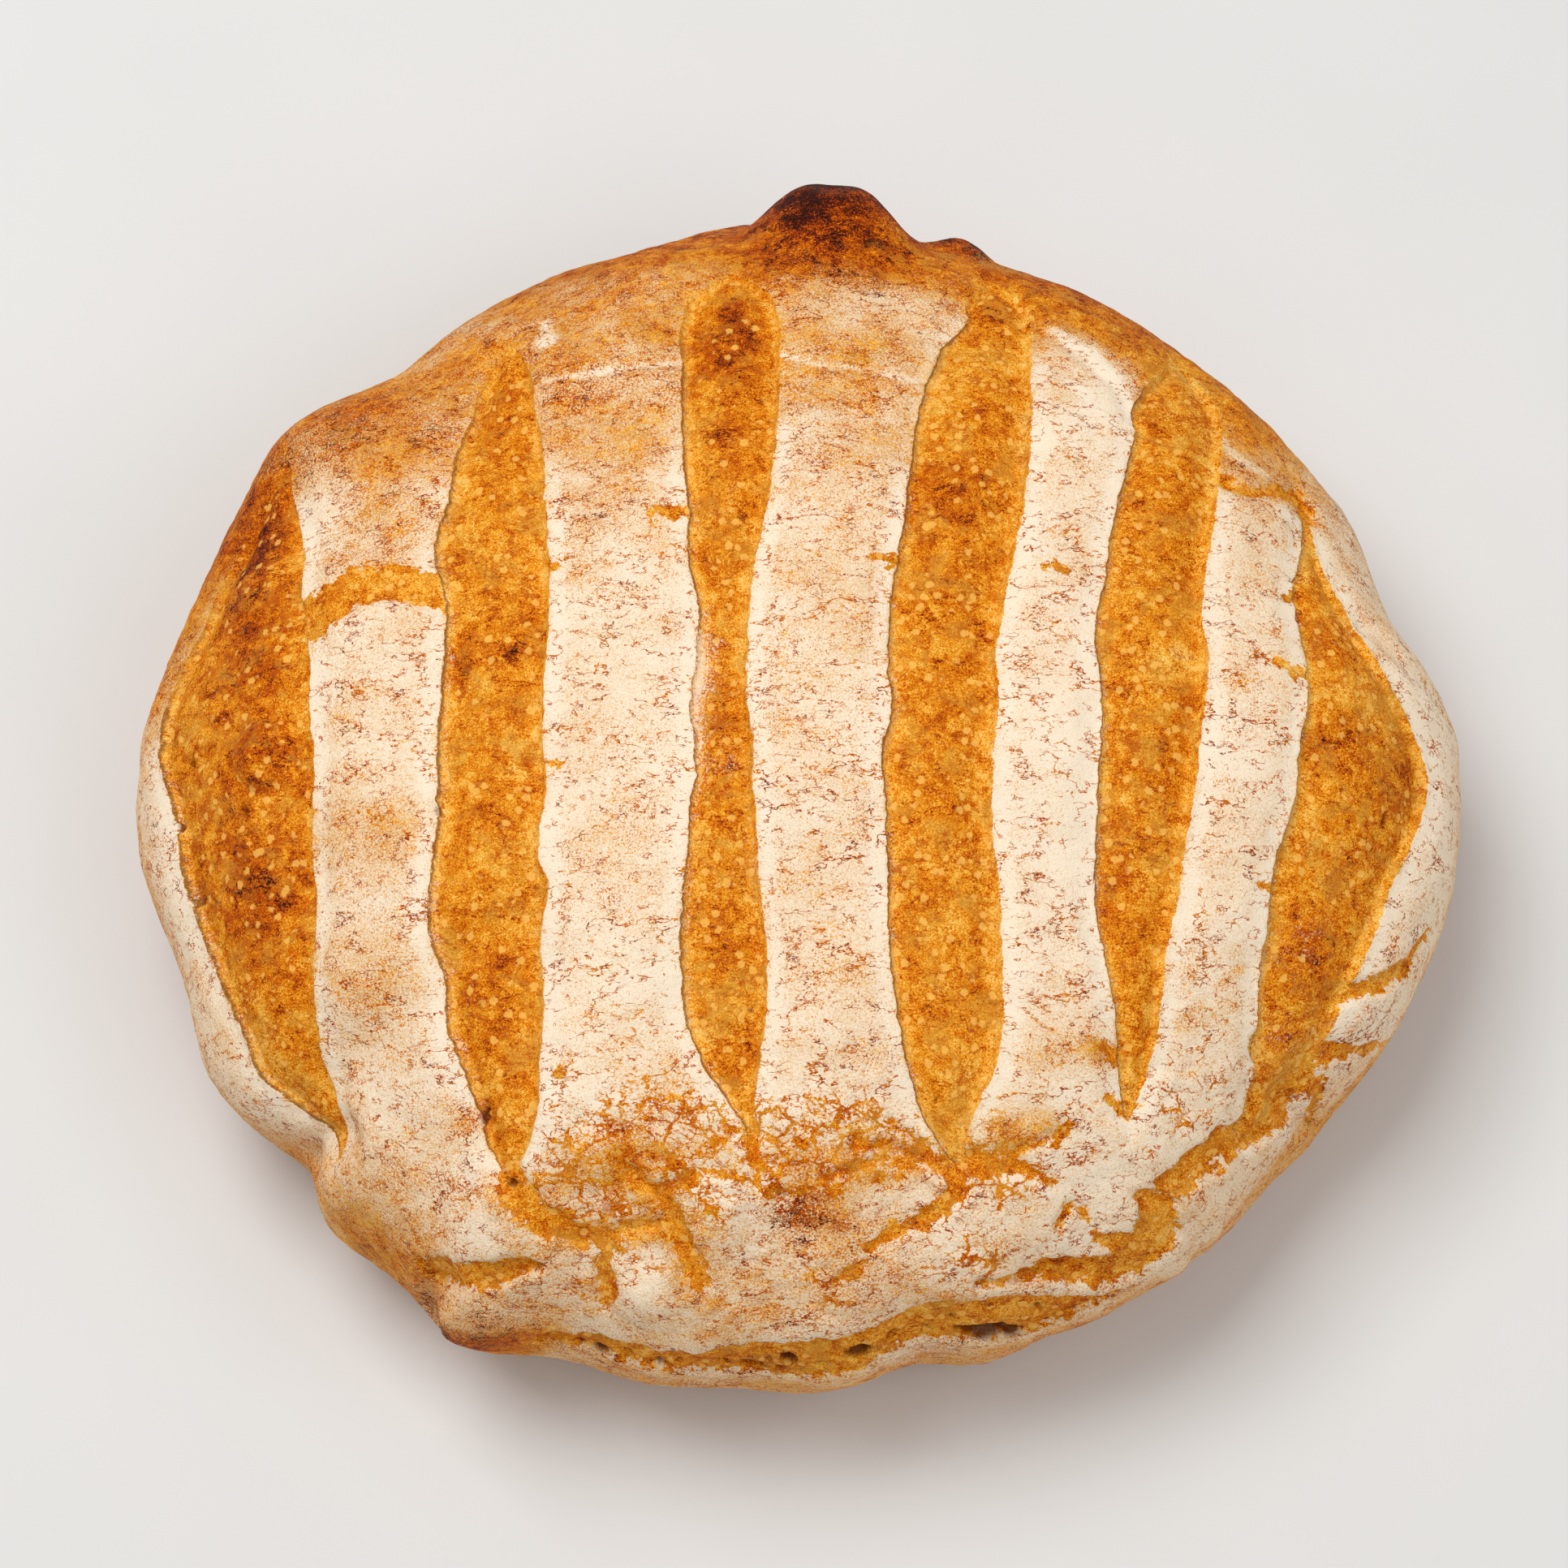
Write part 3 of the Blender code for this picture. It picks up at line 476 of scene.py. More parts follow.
class Skin:
    """Every field over the skin: what is slashed, torn, cracked, floured and browned, and its relief."""

    def __init__(self, u, v):
        self.u, self.v = u, v
        self.run = np.hypot(u, v)
        self.foot = np.clip((SPAN - self.run) / FADE_HEIGHT, 0, 1)
        self.slash, self.share, self.left = into_slash(u, v)
        self.tear()
        self.islands()
        self.holes()
        self.paint()
        self.relief()

    def tear(self):
        """How far each place lies inside the nearest tear, and how deep the tears cut."""
        u = self.u + 0.9 * noise(self.u, self.v, 5, 11) + 0.55 * noise(self.u, self.v, 1.9, 12)
        v = self.v + 0.9 * noise(self.u, self.v, 5, 21) + 0.55 * noise(self.u, self.v, 1.9, 22)
        self.torn = np.full(np.shape(u), -99.0)
        self.torn_depth = np.zeros(np.shape(u))
        for depth, points in TEARS:
            distance, index = from_line(u, v, points)
            inside = np.interp(index, range(len(points)), [p[2] for p in points]) - distance
            cut = depth * ease((inside + TEAR_LIP * 0.5) / TEAR_LIP)
            self.torn_depth = np.maximum(self.torn_depth, cut)
            self.torn = np.maximum(self.torn, inside)

    def islands(self):
        """The cracks between the islands of flour: how far each place lies inside one."""
        bend_u = self.u + 1.5 * noise(self.u, self.v, 6, 31) + 0.6 * noise(self.u, self.v, 2.2, 32)
        bend_v = self.v + 1.5 * noise(self.u, self.v, 6, 41) + 0.6 * noise(self.u, self.v, 2.2, 42)
        opening = CRACK_REST + np.minimum(spots(self.u, self.v, CRACKED_SPOTS), CRACK_MOST)
        self.opening = opening + 0.4 * noise(self.u, self.v, 9, 51)
        _, wide, _ = cells(bend_u, bend_v, 10.5, 61)
        _, small, _ = cells(bend_u, bend_v, 5.4, 71)
        self.plate = np.minimum(wide, small + 0.2)

    def holes(self):
        """Open holes: how deep the skin goes down in them, which also sets the painted shade in them."""
        u = self.u + 0.35 * noise(self.u, self.v, 1.7, 81)
        v = self.v + 0.35 * noise(self.u, self.v, 1.7, 82)
        self.hole = np.zeros(np.shape(u))
        for place_u, place_v, half_u, half_v, depth in HOLES:
            away = np.hypot((u - place_u) / half_u, (v - place_v) / half_v)
            self.hole = np.maximum(self.hole, depth * ease((1.25 - away) / 0.6))

    def paint(self):
        """Flour, browning, bareness and a painted shadow along the slashes' left lips, for the materials."""
        u, v = self.u, self.v
        floured = ease((FLOUR_COAT + spots(u, v, FLOUR_SPOTS) - 0.35) / 0.3)
        # Mask of a brown-grey line along the left lip of each slash: the floury wall of the lip, with
        # painted shadow on it.
        self.left_lip_shadow = self.left * bump(self.slash, 2.5) * floured
        self.dust = spots(u, v, DUST_SPOTS) + 0.16 * self.left * bump(self.slash - 0.8, 1.6)
        self.flour = FLOUR_COAT + spots(u, v, FLOUR_SPOTS) + 0.14 * noise(u, v, 14, 95)
        self.flour += 0.3 * bump(self.slash + 1.6, 2.4) * ease((self.flour - 0.55) / 0.3)
        for amount, points in FLOUR_LINES:
            distance, index = from_line(u, v, points)
            half = np.interp(index, range(len(points)), [p[2] for p in points])
            broken = np.clip(0.75 + 0.9 * noise(u, v, 5, 97), 0, 1)
            self.flour += amount * broken * ease(1.3 - distance / half / 1.3)
        self.flour -= 0.4 * np.clip((v - 96) / 16, 0, 1)
        low = np.clip((self.run - 128) / 14, 0, 1)
        self.flour = self.flour * (1 - low) + np.minimum(self.flour, 0.5) * low
        self.brown = spots(u, v, BROWN_SPOTS) + 0.10 * noise(u, v, 16, 91)
        self.brown -= 0.28 * bump(self.slash - 0.6, 2.8)
        far_rim = np.clip((v - 84) / 20, 0, 1) * np.clip((self.run - 98) / 20, 0, 1)
        self.brown += 0.35 * far_rim + 0.25 * np.clip((self.run - 150) / 20, 0, 1)
        self.open = ease((np.maximum(self.slash, self.torn) + 0.4) / 0.8)

    def relief(self):
        """How far the skin stands out from the plain form, below 0 where it lies in."""
        u, v = self.u, self.v
        step = ease(self.slash / LIP_WIDTH)
        out = -step * (SLASH_DEPTH - SLASH_CROWN * np.sin(self.share * math.pi / 2))
        out -= PILLOW_HEIGHT * bump(np.minimum(self.slash, 0), PILLOW_REACH)
        for wavelength, bearing, phase, height in WAVES:
            along = u * math.cos(math.radians(bearing)) + v * math.sin(math.radians(bearing))
            out += height * np.sin(2 * math.pi * along / wavelength + math.radians(phase))
        out -= self.torn_depth * (1 - step)
        for depth, half, points in CREASES:
            distance, _ = from_line(u, v, points)
            out -= depth * bump(distance, half * 2)
        for place_u, place_v, radius, height in BUMPS:
            out += height * bump(np.hypot(u - place_u, v - place_v), radius * 1.5)
        out += self.skin_grain() * (1 - self.open) + self.crumb_grain() * self.open
        out -= self.hole
        self.out = out * self.foot

    def skin_grain(self):
        """The unevenness of the floured skin: lumps, wrinkles across it, and plates beside cracks."""
        u, v = self.u, self.v
        lumps = 0.30 * noise(u, v, 15, 201) + 0.18 * noise(u, v, 6, 202)
        lumps = lumps + 0.15 * noise(u * 0.7, v, 2.6, 203)
        wrinkle = 1 - np.abs(noise(u * 0.45, v, 2.3, 204)) * 2.5
        patchy = np.clip(0.5 + noise(u, v, 13, 205), 0, 1)
        cracked = ease((self.opening + 0.7) / 0.8)
        swell = 0.75 * cracked * (1 - np.exp(-self.plate / 0.9))
        return lumps - 0.13 * np.clip(wrinkle, 0, 1) * patchy + swell

    def crumb_grain(self):
        """The unevenness of bare crumb: soft humps, small blisters and dents."""
        u, v = self.u, self.v
        humps = 0.32 * noise(u, v, 9, 301) + 0.2 * noise(u, v, 3.6, 302) + 0.1 * noise(u, v, 1.7, 303)
        middle, edge, own = cells(u + 0.4 * noise(u, v, 2, 311), v, 2.7, 312)
        blisters = np.where(own > 0.62, 0.3 * bump(middle, 1.2), 0)
        humps += blisters - np.where(own < 0.2, 0.3 * bump(middle, 0.9), 0)
        for place_u, place_v, radius in BLISTERS:
            away = np.hypot(u - place_u, v - place_v) / radius
            dome = 0.16 * bump(away, 1.0) + 0.05 * bump(away - 0.75, 0.3)
            humps += radius * (dome - 0.12 * bump(away - 1.1, 0.25))
        return humps


def wrap(skin):
    """The points of the loaf's skin, in millimetres."""
    u, v = skin.u, skin.v
    bearing = np.arctan2(v, u) % (2 * math.pi)
    rise = np.interp(skin.run, RUN, np.gradient(PROFILE_HEIGHT, RUN))
    across = np.interp(skin.run, RUN, np.gradient(SHARE * MEAN_RADIUS - INSET, RUN))
    out = skin.out / np.hypot(rise, across)
    height = np.interp(skin.run, RUN, PROFILE_HEIGHT)
    bulging = BULGE_AT_BASE + (1 - BULGE_AT_BASE) * np.clip(height / BELLY_HEIGHT, 0, 1)
    radius = outline(bearing, bulging) * np.interp(skin.run, RUN, SHARE)
    radius = radius - np.interp(skin.run, RUN, INSET) - out * rise
    points = np.stack([radius * np.cos(bearing), radius * np.sin(bearing), height + out * across], -1)
    away = np.hypot(u - KNOB_PLACE[0], v - KNOB_PLACE[1])
    swell = KNOB_LENGTH * bump(np.maximum(away - KNOB_TIP, 0), KNOB_RADIUS - KNOB_TIP)
    facing = math.atan2(KNOB_PLACE[1], KNOB_PLACE[0])
    tilt = math.radians(KNOB_RISE)
    toward = (math.cos(facing) * math.cos(tilt), math.sin(facing) * math.cos(tilt), math.sin(tilt))
    return points + swell[:, None] * np.array(toward)


# ======== the loaf's mesh

def top_lattice(rings, reach):
    """An even mesh of triangles over a disc: ring k has 6k vertices. Places u, v and the faces."""
    first = [0] + [1 + 3 * k * (k - 1) for k in range(1, rings + 1)]
    places = [np.zeros((1, 2))]
    faces = []
    for k in range(1, rings + 1):
        turn = np.arange(6 * k) * math.pi / (3 * k)
        places.append(reach * k / rings * np.stack([np.cos(turn), np.sin(turn)], -1))
        inner = max(6 * (k - 1), 1)
        j = np.arange(k)
        for side in range(6):
            outer_a = first[k] + side * k + j
            outer_b = first[k] + (side * k + j + 1) % (6 * k)
            inner_a = first[k - 1] + (side * (k - 1) + j) % inner
            inner_b = first[k - 1] + (side * (k - 1) + j + 1) % inner
            faces.append(np.stack([inner_a, outer_a, outer_b], -1))
            faces.append(np.stack([inner_a, outer_b, inner_b], -1)[:-1])
    return np.concatenate(places), np.concatenate(faces)


def ring_faces(first_above, first_below, count):
    """Triangles between two rings of as many vertices."""
    j = np.arange(count)
    after = (j + 1) % count
    above = np.stack([first_above + j, first_below + j, first_below + after], -1)
    below = np.stack([first_above + j, first_below + after, first_above + after], -1)
    return np.concatenate([above, below])


def loaf_lattice():
    """Places over the skin from crown to base edge, the faces, and where the last ring starts."""
    places, faces = top_lattice(TOP_RINGS, TOP_REACH)
    count = 6 * TOP_RINGS
    turn = np.arange(count) * 2 * math.pi / count
    runs = np.concatenate([
        np.linspace(TOP_REACH, WALL_REACH, WALL_RINGS + 1)[1:],
        np.linspace(WALL_REACH, SPAN, FOOT_RINGS + 1)[1:],
    ])
    last = len(places) - count
    places, faces = [places], [faces]
    for run in runs:
        places.append(run * np.stack([np.cos(turn), np.sin(turn)], -1))
        faces.append(ring_faces(last, last + count, count))
        last += count
    return np.concatenate(places), np.concatenate(faces), last, count


def add_base(points, faces, last, count):
    """Closes the loaf underneath with flat rings that shrink to a middle point."""
    rim = points[last:last + count]
    middle = rim.mean(axis=0)
    for share in BASE_RINGS:
        ring = middle + (rim - middle) * share
        faces = np.concatenate([faces, ring_faces(last, len(points), count)])
        last = len(points)
        points = np.concatenate([points, ring])
    j = np.arange(count)
    fan = np.stack([last + j, np.full(count, len(points)), last + (j + 1) % count], -1)
    return np.concatenate([points, middle[None]]), np.concatenate([faces, fan])


def mesh_object(name, points, faces, smooth=True):
    """An object from arrays of points and triangles."""
    mesh = bpy.data.meshes.new(name)
    mesh.vertices.add(len(points))
    mesh.vertices.foreach_set("co", np.asarray(points, np.float32).ravel())
    mesh.loops.add(faces.size)
    mesh.loops.foreach_set("vertex_index", faces.astype(np.int32).ravel())
    mesh.polygons.add(len(faces))
    mesh.polygons.foreach_set("loop_start", np.arange(0, faces.size, 3, dtype=np.int32))
    mesh.update(calc_edges=True)
    if smooth:
        mesh.shade_smooth()
    piece = bpy.data.objects.new(name, mesh)
    bpy.context.collection.objects.link(piece)
    return piece


def give(piece, name, values):
    """Gives every vertex of a piece a named value."""
    layer = piece.data.attributes.new(name, "FLOAT", "POINT")
    full = np.zeros(len(piece.data.vertices), np.float32)
    full[:len(values)] = values
    layer.data.foreach_set("value", full)


def fit_to_box(points):
    """Moves and stretches the form into the box of the solid that it stands for."""
    low, high = (np.array(corner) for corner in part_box("loaf"))
    own_low, own_high = points.min(axis=0), points.max(axis=0)
    own_foot = np.array([*(own_low + own_high)[:2] / 2, own_low[2]])
    foot = np.array([*(low + high)[:2] / 2, low[2]])
    stretch = (high - low) / (own_high - own_low)
    return (points - own_foot) * stretch + foot


def build_loaf():
    """The loaf's skin as one closed mesh, with its painted values."""
    places, faces, last, count = loaf_lattice()
    skin = Skin(gather(places[:, 0], places[:, 1]), places[:, 1])
    points, faces = add_base(wrap(skin), faces, last, count)
    loaf = mesh_object("loaf_skin", fit_to_box(points), faces)
    give(loaf, "slash", np.clip(skin.slash, -9, 9))
    give(loaf, "torn", np.clip(skin.torn, -9, 9))
    for name in ("flour", "brown", "dust", "left_lip_shadow", "opening", "plate", "hole"):
        give(loaf, name, getattr(skin, name))
    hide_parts("loaf")
    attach(loaf, "root")
    return loaf


# ======== materials

def shade(red, green, blue):
    """A colour given as it looks on a screen, from 0 to 255."""
    def linear(value):
        value = value / 255
        return value / 12.92 if value <= 0.04045 else ((value + 0.055) / 1.055) ** 2.4
    return (linear(red), linear(green), linear(blue), 1.0)


class Nodes:
    """Short ways of placing shader nodes in a tree."""

    def __init__(self, tree):
        self.tree = tree

    def add(self, kind, **settings):
        node = self.tree.nodes.new(kind)
        for name, value in settings.items():
            setattr(node, name, value)
        return node

    def put(self, socket, value):
        """Links or sets an input."""
        if isinstance(value, bpy.types.NodeSocket):
            self.tree.links.new(value, socket)
        else:
            socket.default_value = value

    def math(self, operation, a, b=0.0, clamp=False):
        node = self.add("ShaderNodeMath", operation=operation, use_clamp=clamp)
        self.put(node.inputs[0], a)
        self.put(node.inputs[1], b)
        return node.outputs[0]

    def sum(self, *values):
        result = values[0]
        for value in values[1:]:
            result = self.math("ADD", result, value)
        return result

    def times(self, a, b):
        return self.math("MULTIPLY", a, b)

    def less(self, a, b):
        return self.math("SUBTRACT", a, b)

    def rest(self, value):
        """What is left of 1."""
        return self.less(1.0, value)

    def most(self, a, b):
        return self.math("MAXIMUM", a, b)

    def swing(self, value, gain):
        """Noise turned into a rise and fall about 0."""
        return self.times(self.less(value, 0.5), gain)

    def step(self, value, low, high, to_low=0.0, to_high=1.0):
        """A smooth step of a value between two limits."""
        node = self.add("ShaderNodeMapRange", interpolation_type="SMOOTHSTEP")
        for socket, number in zip(node.inputs[:5], (value, low, high, to_low, to_high)):
            self.put(socket, number)
        return node.outputs[0]

    def mix(self, factor, a, b, blend="MIX"):
        """A mix of two colours."""
        node = self.add("ShaderNodeMix", data_type="RGBA", blend_type=blend)
        self.put(node.inputs[0], factor)
        self.put(node.inputs[6], a)
        self.put(node.inputs[7], b)
        return node.outputs[2]

    def read(self, name):
        """A value painted on the mesh."""
        return self.add("ShaderNodeAttribute", attribute_name=name).outputs["Fac"]

    def place(self, stretch=(1, 1, 1)):
        """The place on the object, stretched."""
        coords = self.add("ShaderNodeTexCoord").outputs["Object"]
        node = self.add("ShaderNodeMapping")
        self.put(node.inputs["Vector"], coords)
        node.inputs["Scale"].default_value = stretch
        return node.outputs[0]

    def noise(self, place, size, detail=3.0, roughness=0.6, distortion=0.0):
        """Noise with features of a size in millimetres, centred on 0.5."""
        node = self.add("ShaderNodeTexNoise")
        self.put(node.inputs["Vector"], place)
        node.inputs["Scale"].default_value = 1 / (size * MM)
        node.inputs["Detail"].default_value = detail
        node.inputs["Roughness"].default_value = roughness
        node.inputs["Distortion"].default_value = distortion
        return node.outputs["Fac"]

    def cells(self, place, size, feature="F1"):
        """Scattered cells of a size in millimetres: the node, for its distance and colour."""
        node = self.add("ShaderNodeTexVoronoi", feature=feature)
        self.put(node.inputs["Vector"], place)
        node.inputs["Scale"].default_value = 1 / (size * MM)
        return node


def new_group(name, inputs, outputs):
    """An empty node group with its sockets, given as (name, kind, default)."""
    tree = bpy.data.node_groups.new(name, "ShaderNodeTree")
    for title, kind, default in inputs:
        socket = tree.interface.new_socket(title, in_out="INPUT", socket_type=kind)
        socket.default_value = default
    for title, kind in outputs:
        tree.interface.new_socket(title, in_out="OUTPUT", socket_type=kind)
    nodes = Nodes(tree)
    return tree, nodes, nodes.add("NodeGroupInput").outputs, nodes.add("NodeGroupOutput").inputs


FLOAT = "NodeSocketFloat"
COLOUR = "NodeSocketColor"


def colour_ramp(n, value, stops):
    """A run of colours over a value from 0 to 1."""
    node = n.add("ShaderNodeValToRGB")
    n.put(node.inputs[0], value)
    elements = node.color_ramp.elements
    while len(elements) < len(stops):
        elements.new(0.5)
    for element, (position, colour) in zip(elements, stops):
        element.position = position
        element.color = colour
    return node.outputs[0]


CRUST_COLOURS = (
    (0.00, shade(255, 208, 116)), (0.20, shade(248, 178, 60)), (0.36, shade(232, 146, 18)),
    (0.52, shade(214, 112, 0)), (0.66, shade(186, 78, 0)), (0.80, shade(142, 48, 0)),
    (0.90, shade(88, 26, 4)), (1.00, shade(50, 14, 4)),
)

FLOUR_COLOURS = (       # from a thin haze to a thick coat
    (0.00, shade(198, 122, 42)), (0.22, shade(210, 144, 70)), (0.38, shade(224, 170, 106)),
    (0.53, shade(239, 202, 156)), (0.69, shade(246, 218, 183)), (0.90, shade(254, 235, 208)),
)

GRAIN_HEIGHT = 0.32     # of the finest grain, in millimetres
GRAIN_STRENGTH = 0.8
CRACK_BEND = 2.0        # how far the cracks wander, in millimetres
CRACK_NETS = (          # cell size, stretch, half width of a crack where the coat is shut and open
    (4.2, (0.62, 1, 1), -0.06, 0.22), (2.1, (0.7, 1, 1), -0.06, 0.10),
)
CRACK_LINES = ((7.0, 0.013), (3.0, 0.018))  # size of the wander, and thickness as a share of it


def crust_group():
    """Baked dough: pale gold to orange to dark brown, mottled at every scale, with pale blisters and tiny
    dots of painted shade for pores.
    """
    tree, n, given, out = new_group(
        "baked_dough", [("Baking", FLOAT, 0.0), ("Crumb", FLOAT, 0.0)],
        [("Color", COLOUR), ("Height", FLOAT)],
    )
    place = n.place()
    broad = n.noise(place, 13.0, 2, 0.5)
    patch = n.noise(place, 3.4, 3, 0.6, 0.5)
    grain = n.noise(place, 0.95, 3, 0.7)
    fine = n.noise(place, 0.30, 2, 0.75)
    bake = n.sum(
        n.times(given["Baking"], 0.5), n.swing(broad, 0.4), n.swing(patch, 1.0),
        n.swing(grain, 0.6), n.swing(fine, 1.5),
    )
    colour = colour_ramp(n, n.sum(bake, 0.40), CRUST_COLOURS)
    dull = n.sum(n.noise(place, 6.0, 3, 0.6, 0.6), n.swing(fine, 0.3))
    dull = n.times(n.step(dull, 0.50, 0.66), n.step(given["Baking"], 0.8, 0.3, 0.0, 0.5))
    colour = n.mix(dull, colour, shade(206, 142, 48))
    ruddy = n.sum(n.noise(place, 5.0, 3, 0.62, 0.4), n.swing(grain, 0.35), n.swing(fine, 0.35))
    ruddy = n.sum(ruddy, n.times(given["Baking"], 0.12))
    ruddy = n.times(n.step(ruddy, 0.56, 0.70), n.step(given["Baking"], 0.8, 0.3, 0.0, 0.65))
    colour = n.mix(ruddy, colour, shade(184, 76, 0))
    blister = n.cells(place, 2.3)
    ragged = n.sum(blister.outputs["Distance"], n.swing(grain, 0.6))
    chosen = n.step(blister.outputs["Color"], 0.50, 0.54)
    pale = n.times(n.times(n.step(ragged, 0.38, 0.24), chosen), given["Crumb"])
    ring = n.times(n.step(ragged, 0.52, 0.42), chosen)
    ring = n.times(n.less(ring, pale), given["Crumb"])
    colour = n.mix(n.times(ring, 0.25), colour, shade(196, 96, 0))
    colour = n.mix(n.times(pale, 0.72), colour, shade(252, 190, 88))
    # Painted shade: tiny dark dots for the shade inside small pores.
    pore = n.cells(place, 1.7)
    pore_shade = n.step(pore.outputs["Distance"], 0.11, 0.05)
    pore_shade = n.times(pore_shade, n.step(pore.outputs["Color"], 0.60, 0.64))
    colour = n.mix(n.times(pore_shade, 0.8), colour, shade(70, 26, 4))
    n.put(out["Color"], colour)
    n.put(out["Height"], n.sum(n.times(grain, 0.9), n.times(fine, 0.5), n.times(patch, 0.5)))
    return tree


def flour_group():
    """A coat of flour: how far it covers, its colour, and its height."""
    tree, n, given, out = new_group(
        "flour_coat", [("Amount", FLOAT, 1.0)], [("Cover", FLOAT), ("Color", COLOUR), ("Height", FLOAT)],
    )
    across = n.place((0.6, 1.0, 1.0))
    place = n.place()
    drift = n.noise(across, 5.5, 4, 0.6)
    crumble = n.noise(across, 1.3, 3, 0.65)
    speck = n.noise(place, 0.34, 2, 0.8)
    cloud = n.noise(place, 14.0, 3, 0.55)
    amount = n.sum(given["Amount"], n.swing(drift, 1.7), n.swing(crumble, 1.2), n.swing(speck, 3.6))
    n.put(out["Cover"], n.step(amount, 0.34, 0.66))
    thick = n.sum(given["Amount"], n.swing(cloud, 0.7), n.swing(drift, 0.7), n.swing(speck, 2.0))
    n.put(out["Color"], colour_ramp(n, n.times(thick, 0.75), FLOUR_COLOURS))
    n.put(out["Height"], n.sum(n.times(speck, 0.8), n.times(crumble, 0.9)))
    return tree


def crack_group():
    """Cracks in the coat, longer across the loaf than along it: 1 in a crack."""
    tree, n, given, out = new_group(
        "coat_cracks", [("Opening", FLOAT, 0.0), ("Plate", FLOAT, 9.0)],
        [("Mask", FLOAT), ("Darkness", FLOAT)],
    )
    place = n.place()
    bend = n.add("ShaderNodeTexNoise")
    n.put(bend.inputs["Vector"], place)
    bend.inputs["Scale"].default_value = 1 / (1.6 * MM)
    bend.inputs["Detail"].default_value = 3
    shift = n.add("ShaderNodeVectorMath", operation="MULTIPLY_ADD")
    n.put(shift.inputs[0], bend.outputs["Color"])
    shift.inputs[1].default_value = (CRACK_BEND * MM,) * 3
    n.put(shift.inputs[2], place)
    bent = shift.outputs[0]
    fray = n.noise(place, 0.5, 2, 0.7)
    open_wide = n.step(given["Opening"], -0.45, 0.25)
    plate = n.sum(given["Plate"], n.swing(fray, 1.3))
    plate = n.less(plate, n.step(given["Opening"], -0.6, 0.4, -0.35, 0.28))
    mask = n.step(plate, 0.10, -0.10)
    for size, stretch, shut, opened in CRACK_NETS:
        stretched = n.add("ShaderNodeVectorMath", operation="MULTIPLY")
        n.put(stretched.inputs[0], bent)
        stretched.inputs[1].default_value = stretch
        edge = n.cells(stretched.outputs[0], size, "DISTANCE_TO_EDGE").outputs["Distance"]
        away = n.sum(n.times(edge, size), n.swing(fray, 0.55))
        line = n.step(n.less(away, n.step(open_wide, 0.0, 1.0, shut, opened)), 0.07, -0.05)
        where = n.noise(n.place((0.6, 1, 1)), size * 1.1, 3, 0.7)
        where = n.sum(where, n.step(open_wide, 0.0, 1.0, 0.0, 0.14))
        mask = n.most(mask, n.times(line, n.step(where, 0.54, 0.60)))
    for size, half in CRACK_LINES:
        wander = n.noise(n.place((0.5, 1, 1)), size, 5, 0.62)
        away = n.math("ABSOLUTE", n.less(wander, 0.5))
        where = n.noise(n.place((0.8, 1, 1)), size * 0.8, 2, 0.6)
        mask = n.most(mask, n.times(n.step(away, half, half * 0.3), n.step(where, 0.48, 0.55)))
    chip = n.cells(bent, 2.6).outputs["Color"]
    chip = n.less(chip, n.step(open_wide, 0.3, 1.0, -0.05, 0.22))
    n.put(out["Mask"], n.most(mask, n.step(chip, 0.01, -0.01)))
    n.put(out["Darkness"], n.step(open_wide, 0.0, 1.0, 0.55, 0.15))
    return tree


def use(n, group, **inputs):
    """Places a node group in a material."""
    node = n.add("ShaderNodeGroup")
    node.node_tree = group
    for name, value in inputs.items():
        n.put(node.inputs[name], value)
    return node.outputs


def new_material(name):
    material = bpy.data.materials.new(name)
    material.use_nodes = True
    n = Nodes(material.node_tree)
    shader = material.node_tree.nodes["Principled BSDF"]
    return material, n, shader


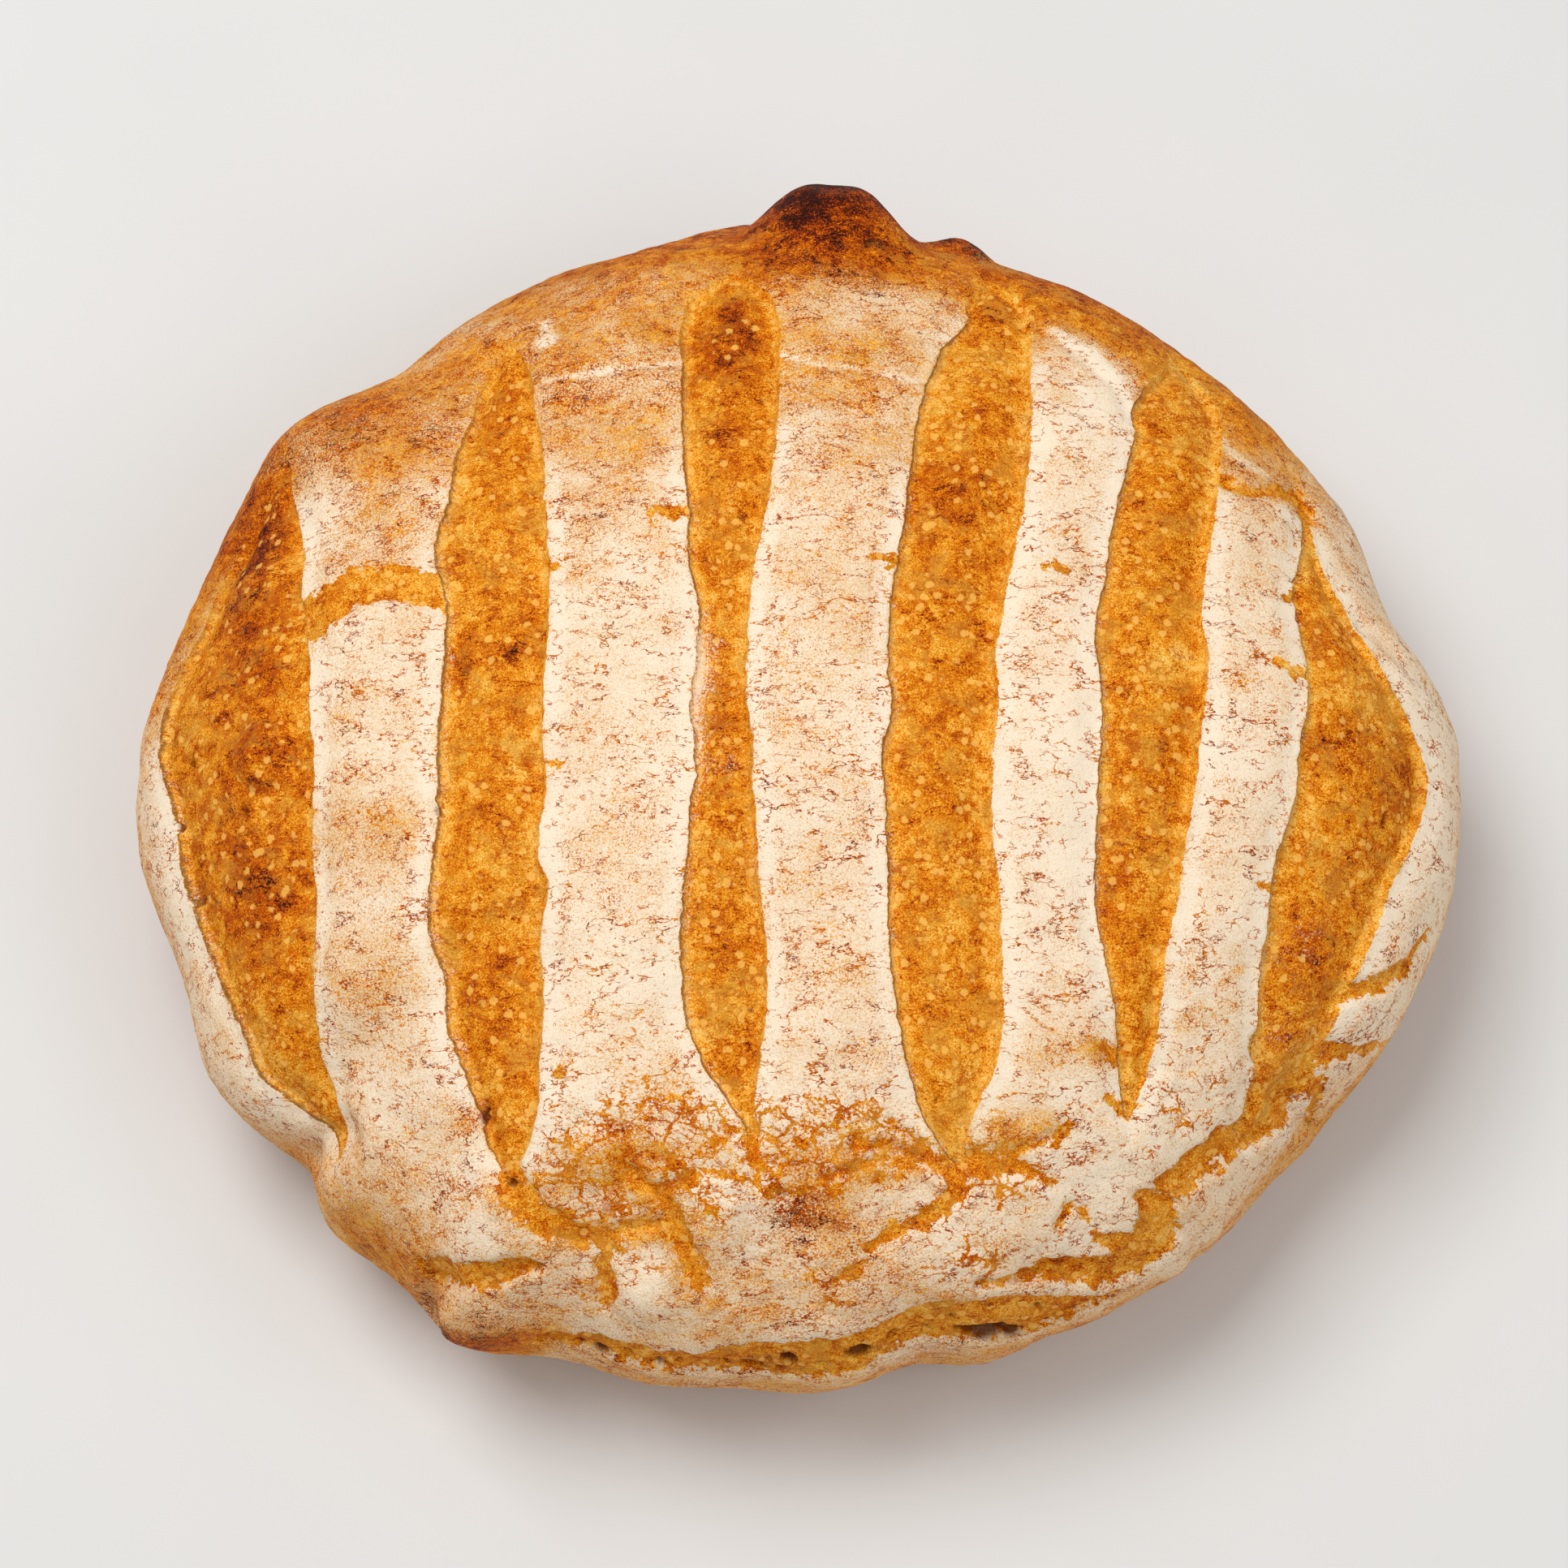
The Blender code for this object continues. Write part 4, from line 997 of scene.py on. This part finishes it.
def loaf_material(crust, flour, cracks):
    """Crust and crumb, with flour over what isn't bare, a painted shadow along the slashes' left lips and
    painted shade in the holes.
    """
    material, n, shader = new_material("floured_crust")
    place = n.place()
    slash = n.read("slash")
    torn = n.read("torn")
    fray = n.noise(place, 1.6, 5, 0.72)
    flake = n.cells(place, 3.2).outputs["Color"]
    chip = n.cells(place, 1.4).outputs["Color"]
    ragged = n.sum(torn, n.swing(fray, 3.4), n.swing(flake, 1.7), n.swing(chip, 1.1))
    cut = n.step(n.sum(slash, n.swing(fray, 0.9)), -0.08, 0.08)
    bare = n.most(cut, n.step(ragged, -0.08, 0.10))
    coat = use(n, flour, Amount=n.read("flour"))
    cracked = use(n, cracks, Opening=n.read("opening"), Plate=n.read("plate"))
    crack = cracked["Mask"]
    covered = n.times(n.times(coat["Cover"], n.rest(crack)), n.rest(bare))
    drift = n.times(n.noise(place, 3.4, 3, 0.6), 0.35)
    dust = n.sum(n.noise(place, 0.45, 3, 0.8), drift, n.read("dust"))
    dust = n.times(n.step(dust, 0.86, 0.98), n.times(bare, 0.8))
    cover = n.most(covered, dust)
    baking = n.sum(n.read("brown"), n.times(crack, cracked["Darkness"]))
    baked = use(n, crust, Baking=baking, Crumb=bare)
    # Painted shadow: a brown-grey line just inside each slash's left edge, for the floury wall of the lip in
    # shade.
    edge = n.sum(slash, n.swing(fray, 1.2))
    edge = n.times(n.step(edge, -0.05, 0.1), n.step(edge, 0.55, 0.2))
    left_lip_shadow = n.times(n.times(edge, n.read("left_lip_shadow")), 0.8)
    colour = n.mix(left_lip_shadow, baked["Color"], shade(128, 82, 38))
    colour = n.mix(cover, colour, coat["Color"])
    # Painted shade: the holes are coloured darker the deeper they go.
    hole = n.times(n.step(n.read("hole"), 0.3, 1.6), 0.85)
    n.put(shader.inputs["Base Color"], n.mix(hole, colour, shade(98, 34, 4)))
    n.put(shader.inputs["Roughness"], n.step(cover, 0.0, 1.0, 0.66, 0.95))
    crumb = n.step(n.most(slash, torn), -0.1, 0.3)
    height = n.sum(n.times(baked["Height"], crumb), n.times(coat["Height"], n.rest(crumb)))
    bump_node = n.add("ShaderNodeBump")
    bump_node.inputs["Strength"].default_value = GRAIN_STRENGTH
    bump_node.inputs["Distance"].default_value = GRAIN_HEIGHT * MM
    n.put(bump_node.inputs["Height"], height)
    n.put(shader.inputs["Normal"], bump_node.outputs[0])
    shader.inputs["Specular IOR Level"].default_value = 0.08
    return material


def floor_material():
    """A plain pale floor, very faintly uneven."""
    material, n, shader = new_material("pale_floor")
    tone = n.noise(n.place(), 60, 2, 0.5)
    n.put(shader.inputs["Base Color"], n.mix(tone, shade(222, 221, 219), shade(228, 227, 225)))
    shader.inputs["Roughness"].default_value = 0.9
    return material


# ======== floor, light and camera

FLOOR_SIZE = 6.0
VIEW_ELEVATION = 70.0   # degrees above the horizontal
VIEW_DISTANCE = 0.9
VIEW_WIDTH = 0.2829     # what the frame takes in, across, at the loaf
VIEW_TARGET = (-0.0028, -0.0021, 0.038)
SENSOR = 36.0


def set_floor():
    """A large flat floor under the loaf."""
    half = FLOOR_SIZE / 2
    corners = np.array([(-half, -half, 0), (half, -half, 0), (half, half, 0), (-half, half, 0)])
    floor = mesh_object("floor", corners, np.array([(0, 1, 2), (0, 2, 3)]), smooth=False)
    floor.data.materials.append(floor_material())


def set_light():
    """One broad soft light from the upper left, a weaker one from the right, and an even surround."""
    for name, place, size, power in (
        ("key", (-0.5, 0.35, 1.5), 0.9, 17.0),
        ("fill", (0.9, -0.5, 1.3), 1.2, 6.0),
    ):
        lamp = bpy.data.lights.new(name, "AREA")
        lamp.energy = power
        lamp.size = size
        light = bpy.data.objects.new(name, lamp)
        light.location = place
        light.rotation_euler = (-Vector(place)).to_track_quat("-Z", "Y").to_euler()
        bpy.context.collection.objects.link(light)
    world = bpy.data.worlds.new("surround")
    world.use_nodes = True
    world.node_tree.nodes["Background"].inputs[0].default_value = (1.0, 1.0, 1.0, 1)
    world.node_tree.nodes["Background"].inputs[1].default_value = 0.36
    bpy.context.scene.world = world


def set_camera():
    """The camera looks down from the near side."""
    lens = bpy.data.cameras.new("camera")
    lens.sensor_width = SENSOR
    lens.lens = SENSOR * VIEW_DISTANCE / VIEW_WIDTH
    lens.clip_start = 0.01
    camera = bpy.data.objects.new("camera", lens)
    tilt = math.radians(VIEW_ELEVATION)
    back = Vector((0, -math.cos(tilt), math.sin(tilt)))
    camera.location = Vector(VIEW_TARGET) + VIEW_DISTANCE * back
    camera.rotation_euler = (math.pi / 2 - tilt, 0, 0)
    bpy.context.collection.objects.link(camera)
    bpy.context.scene.camera = camera
    bpy.context.scene.view_settings.view_transform = "Standard"


# ======== all of it

loaf = build_loaf()
loaf.data.materials.append(loaf_material(crust_group(), flour_group(), crack_group()))
set_floor()
set_light()
set_camera()
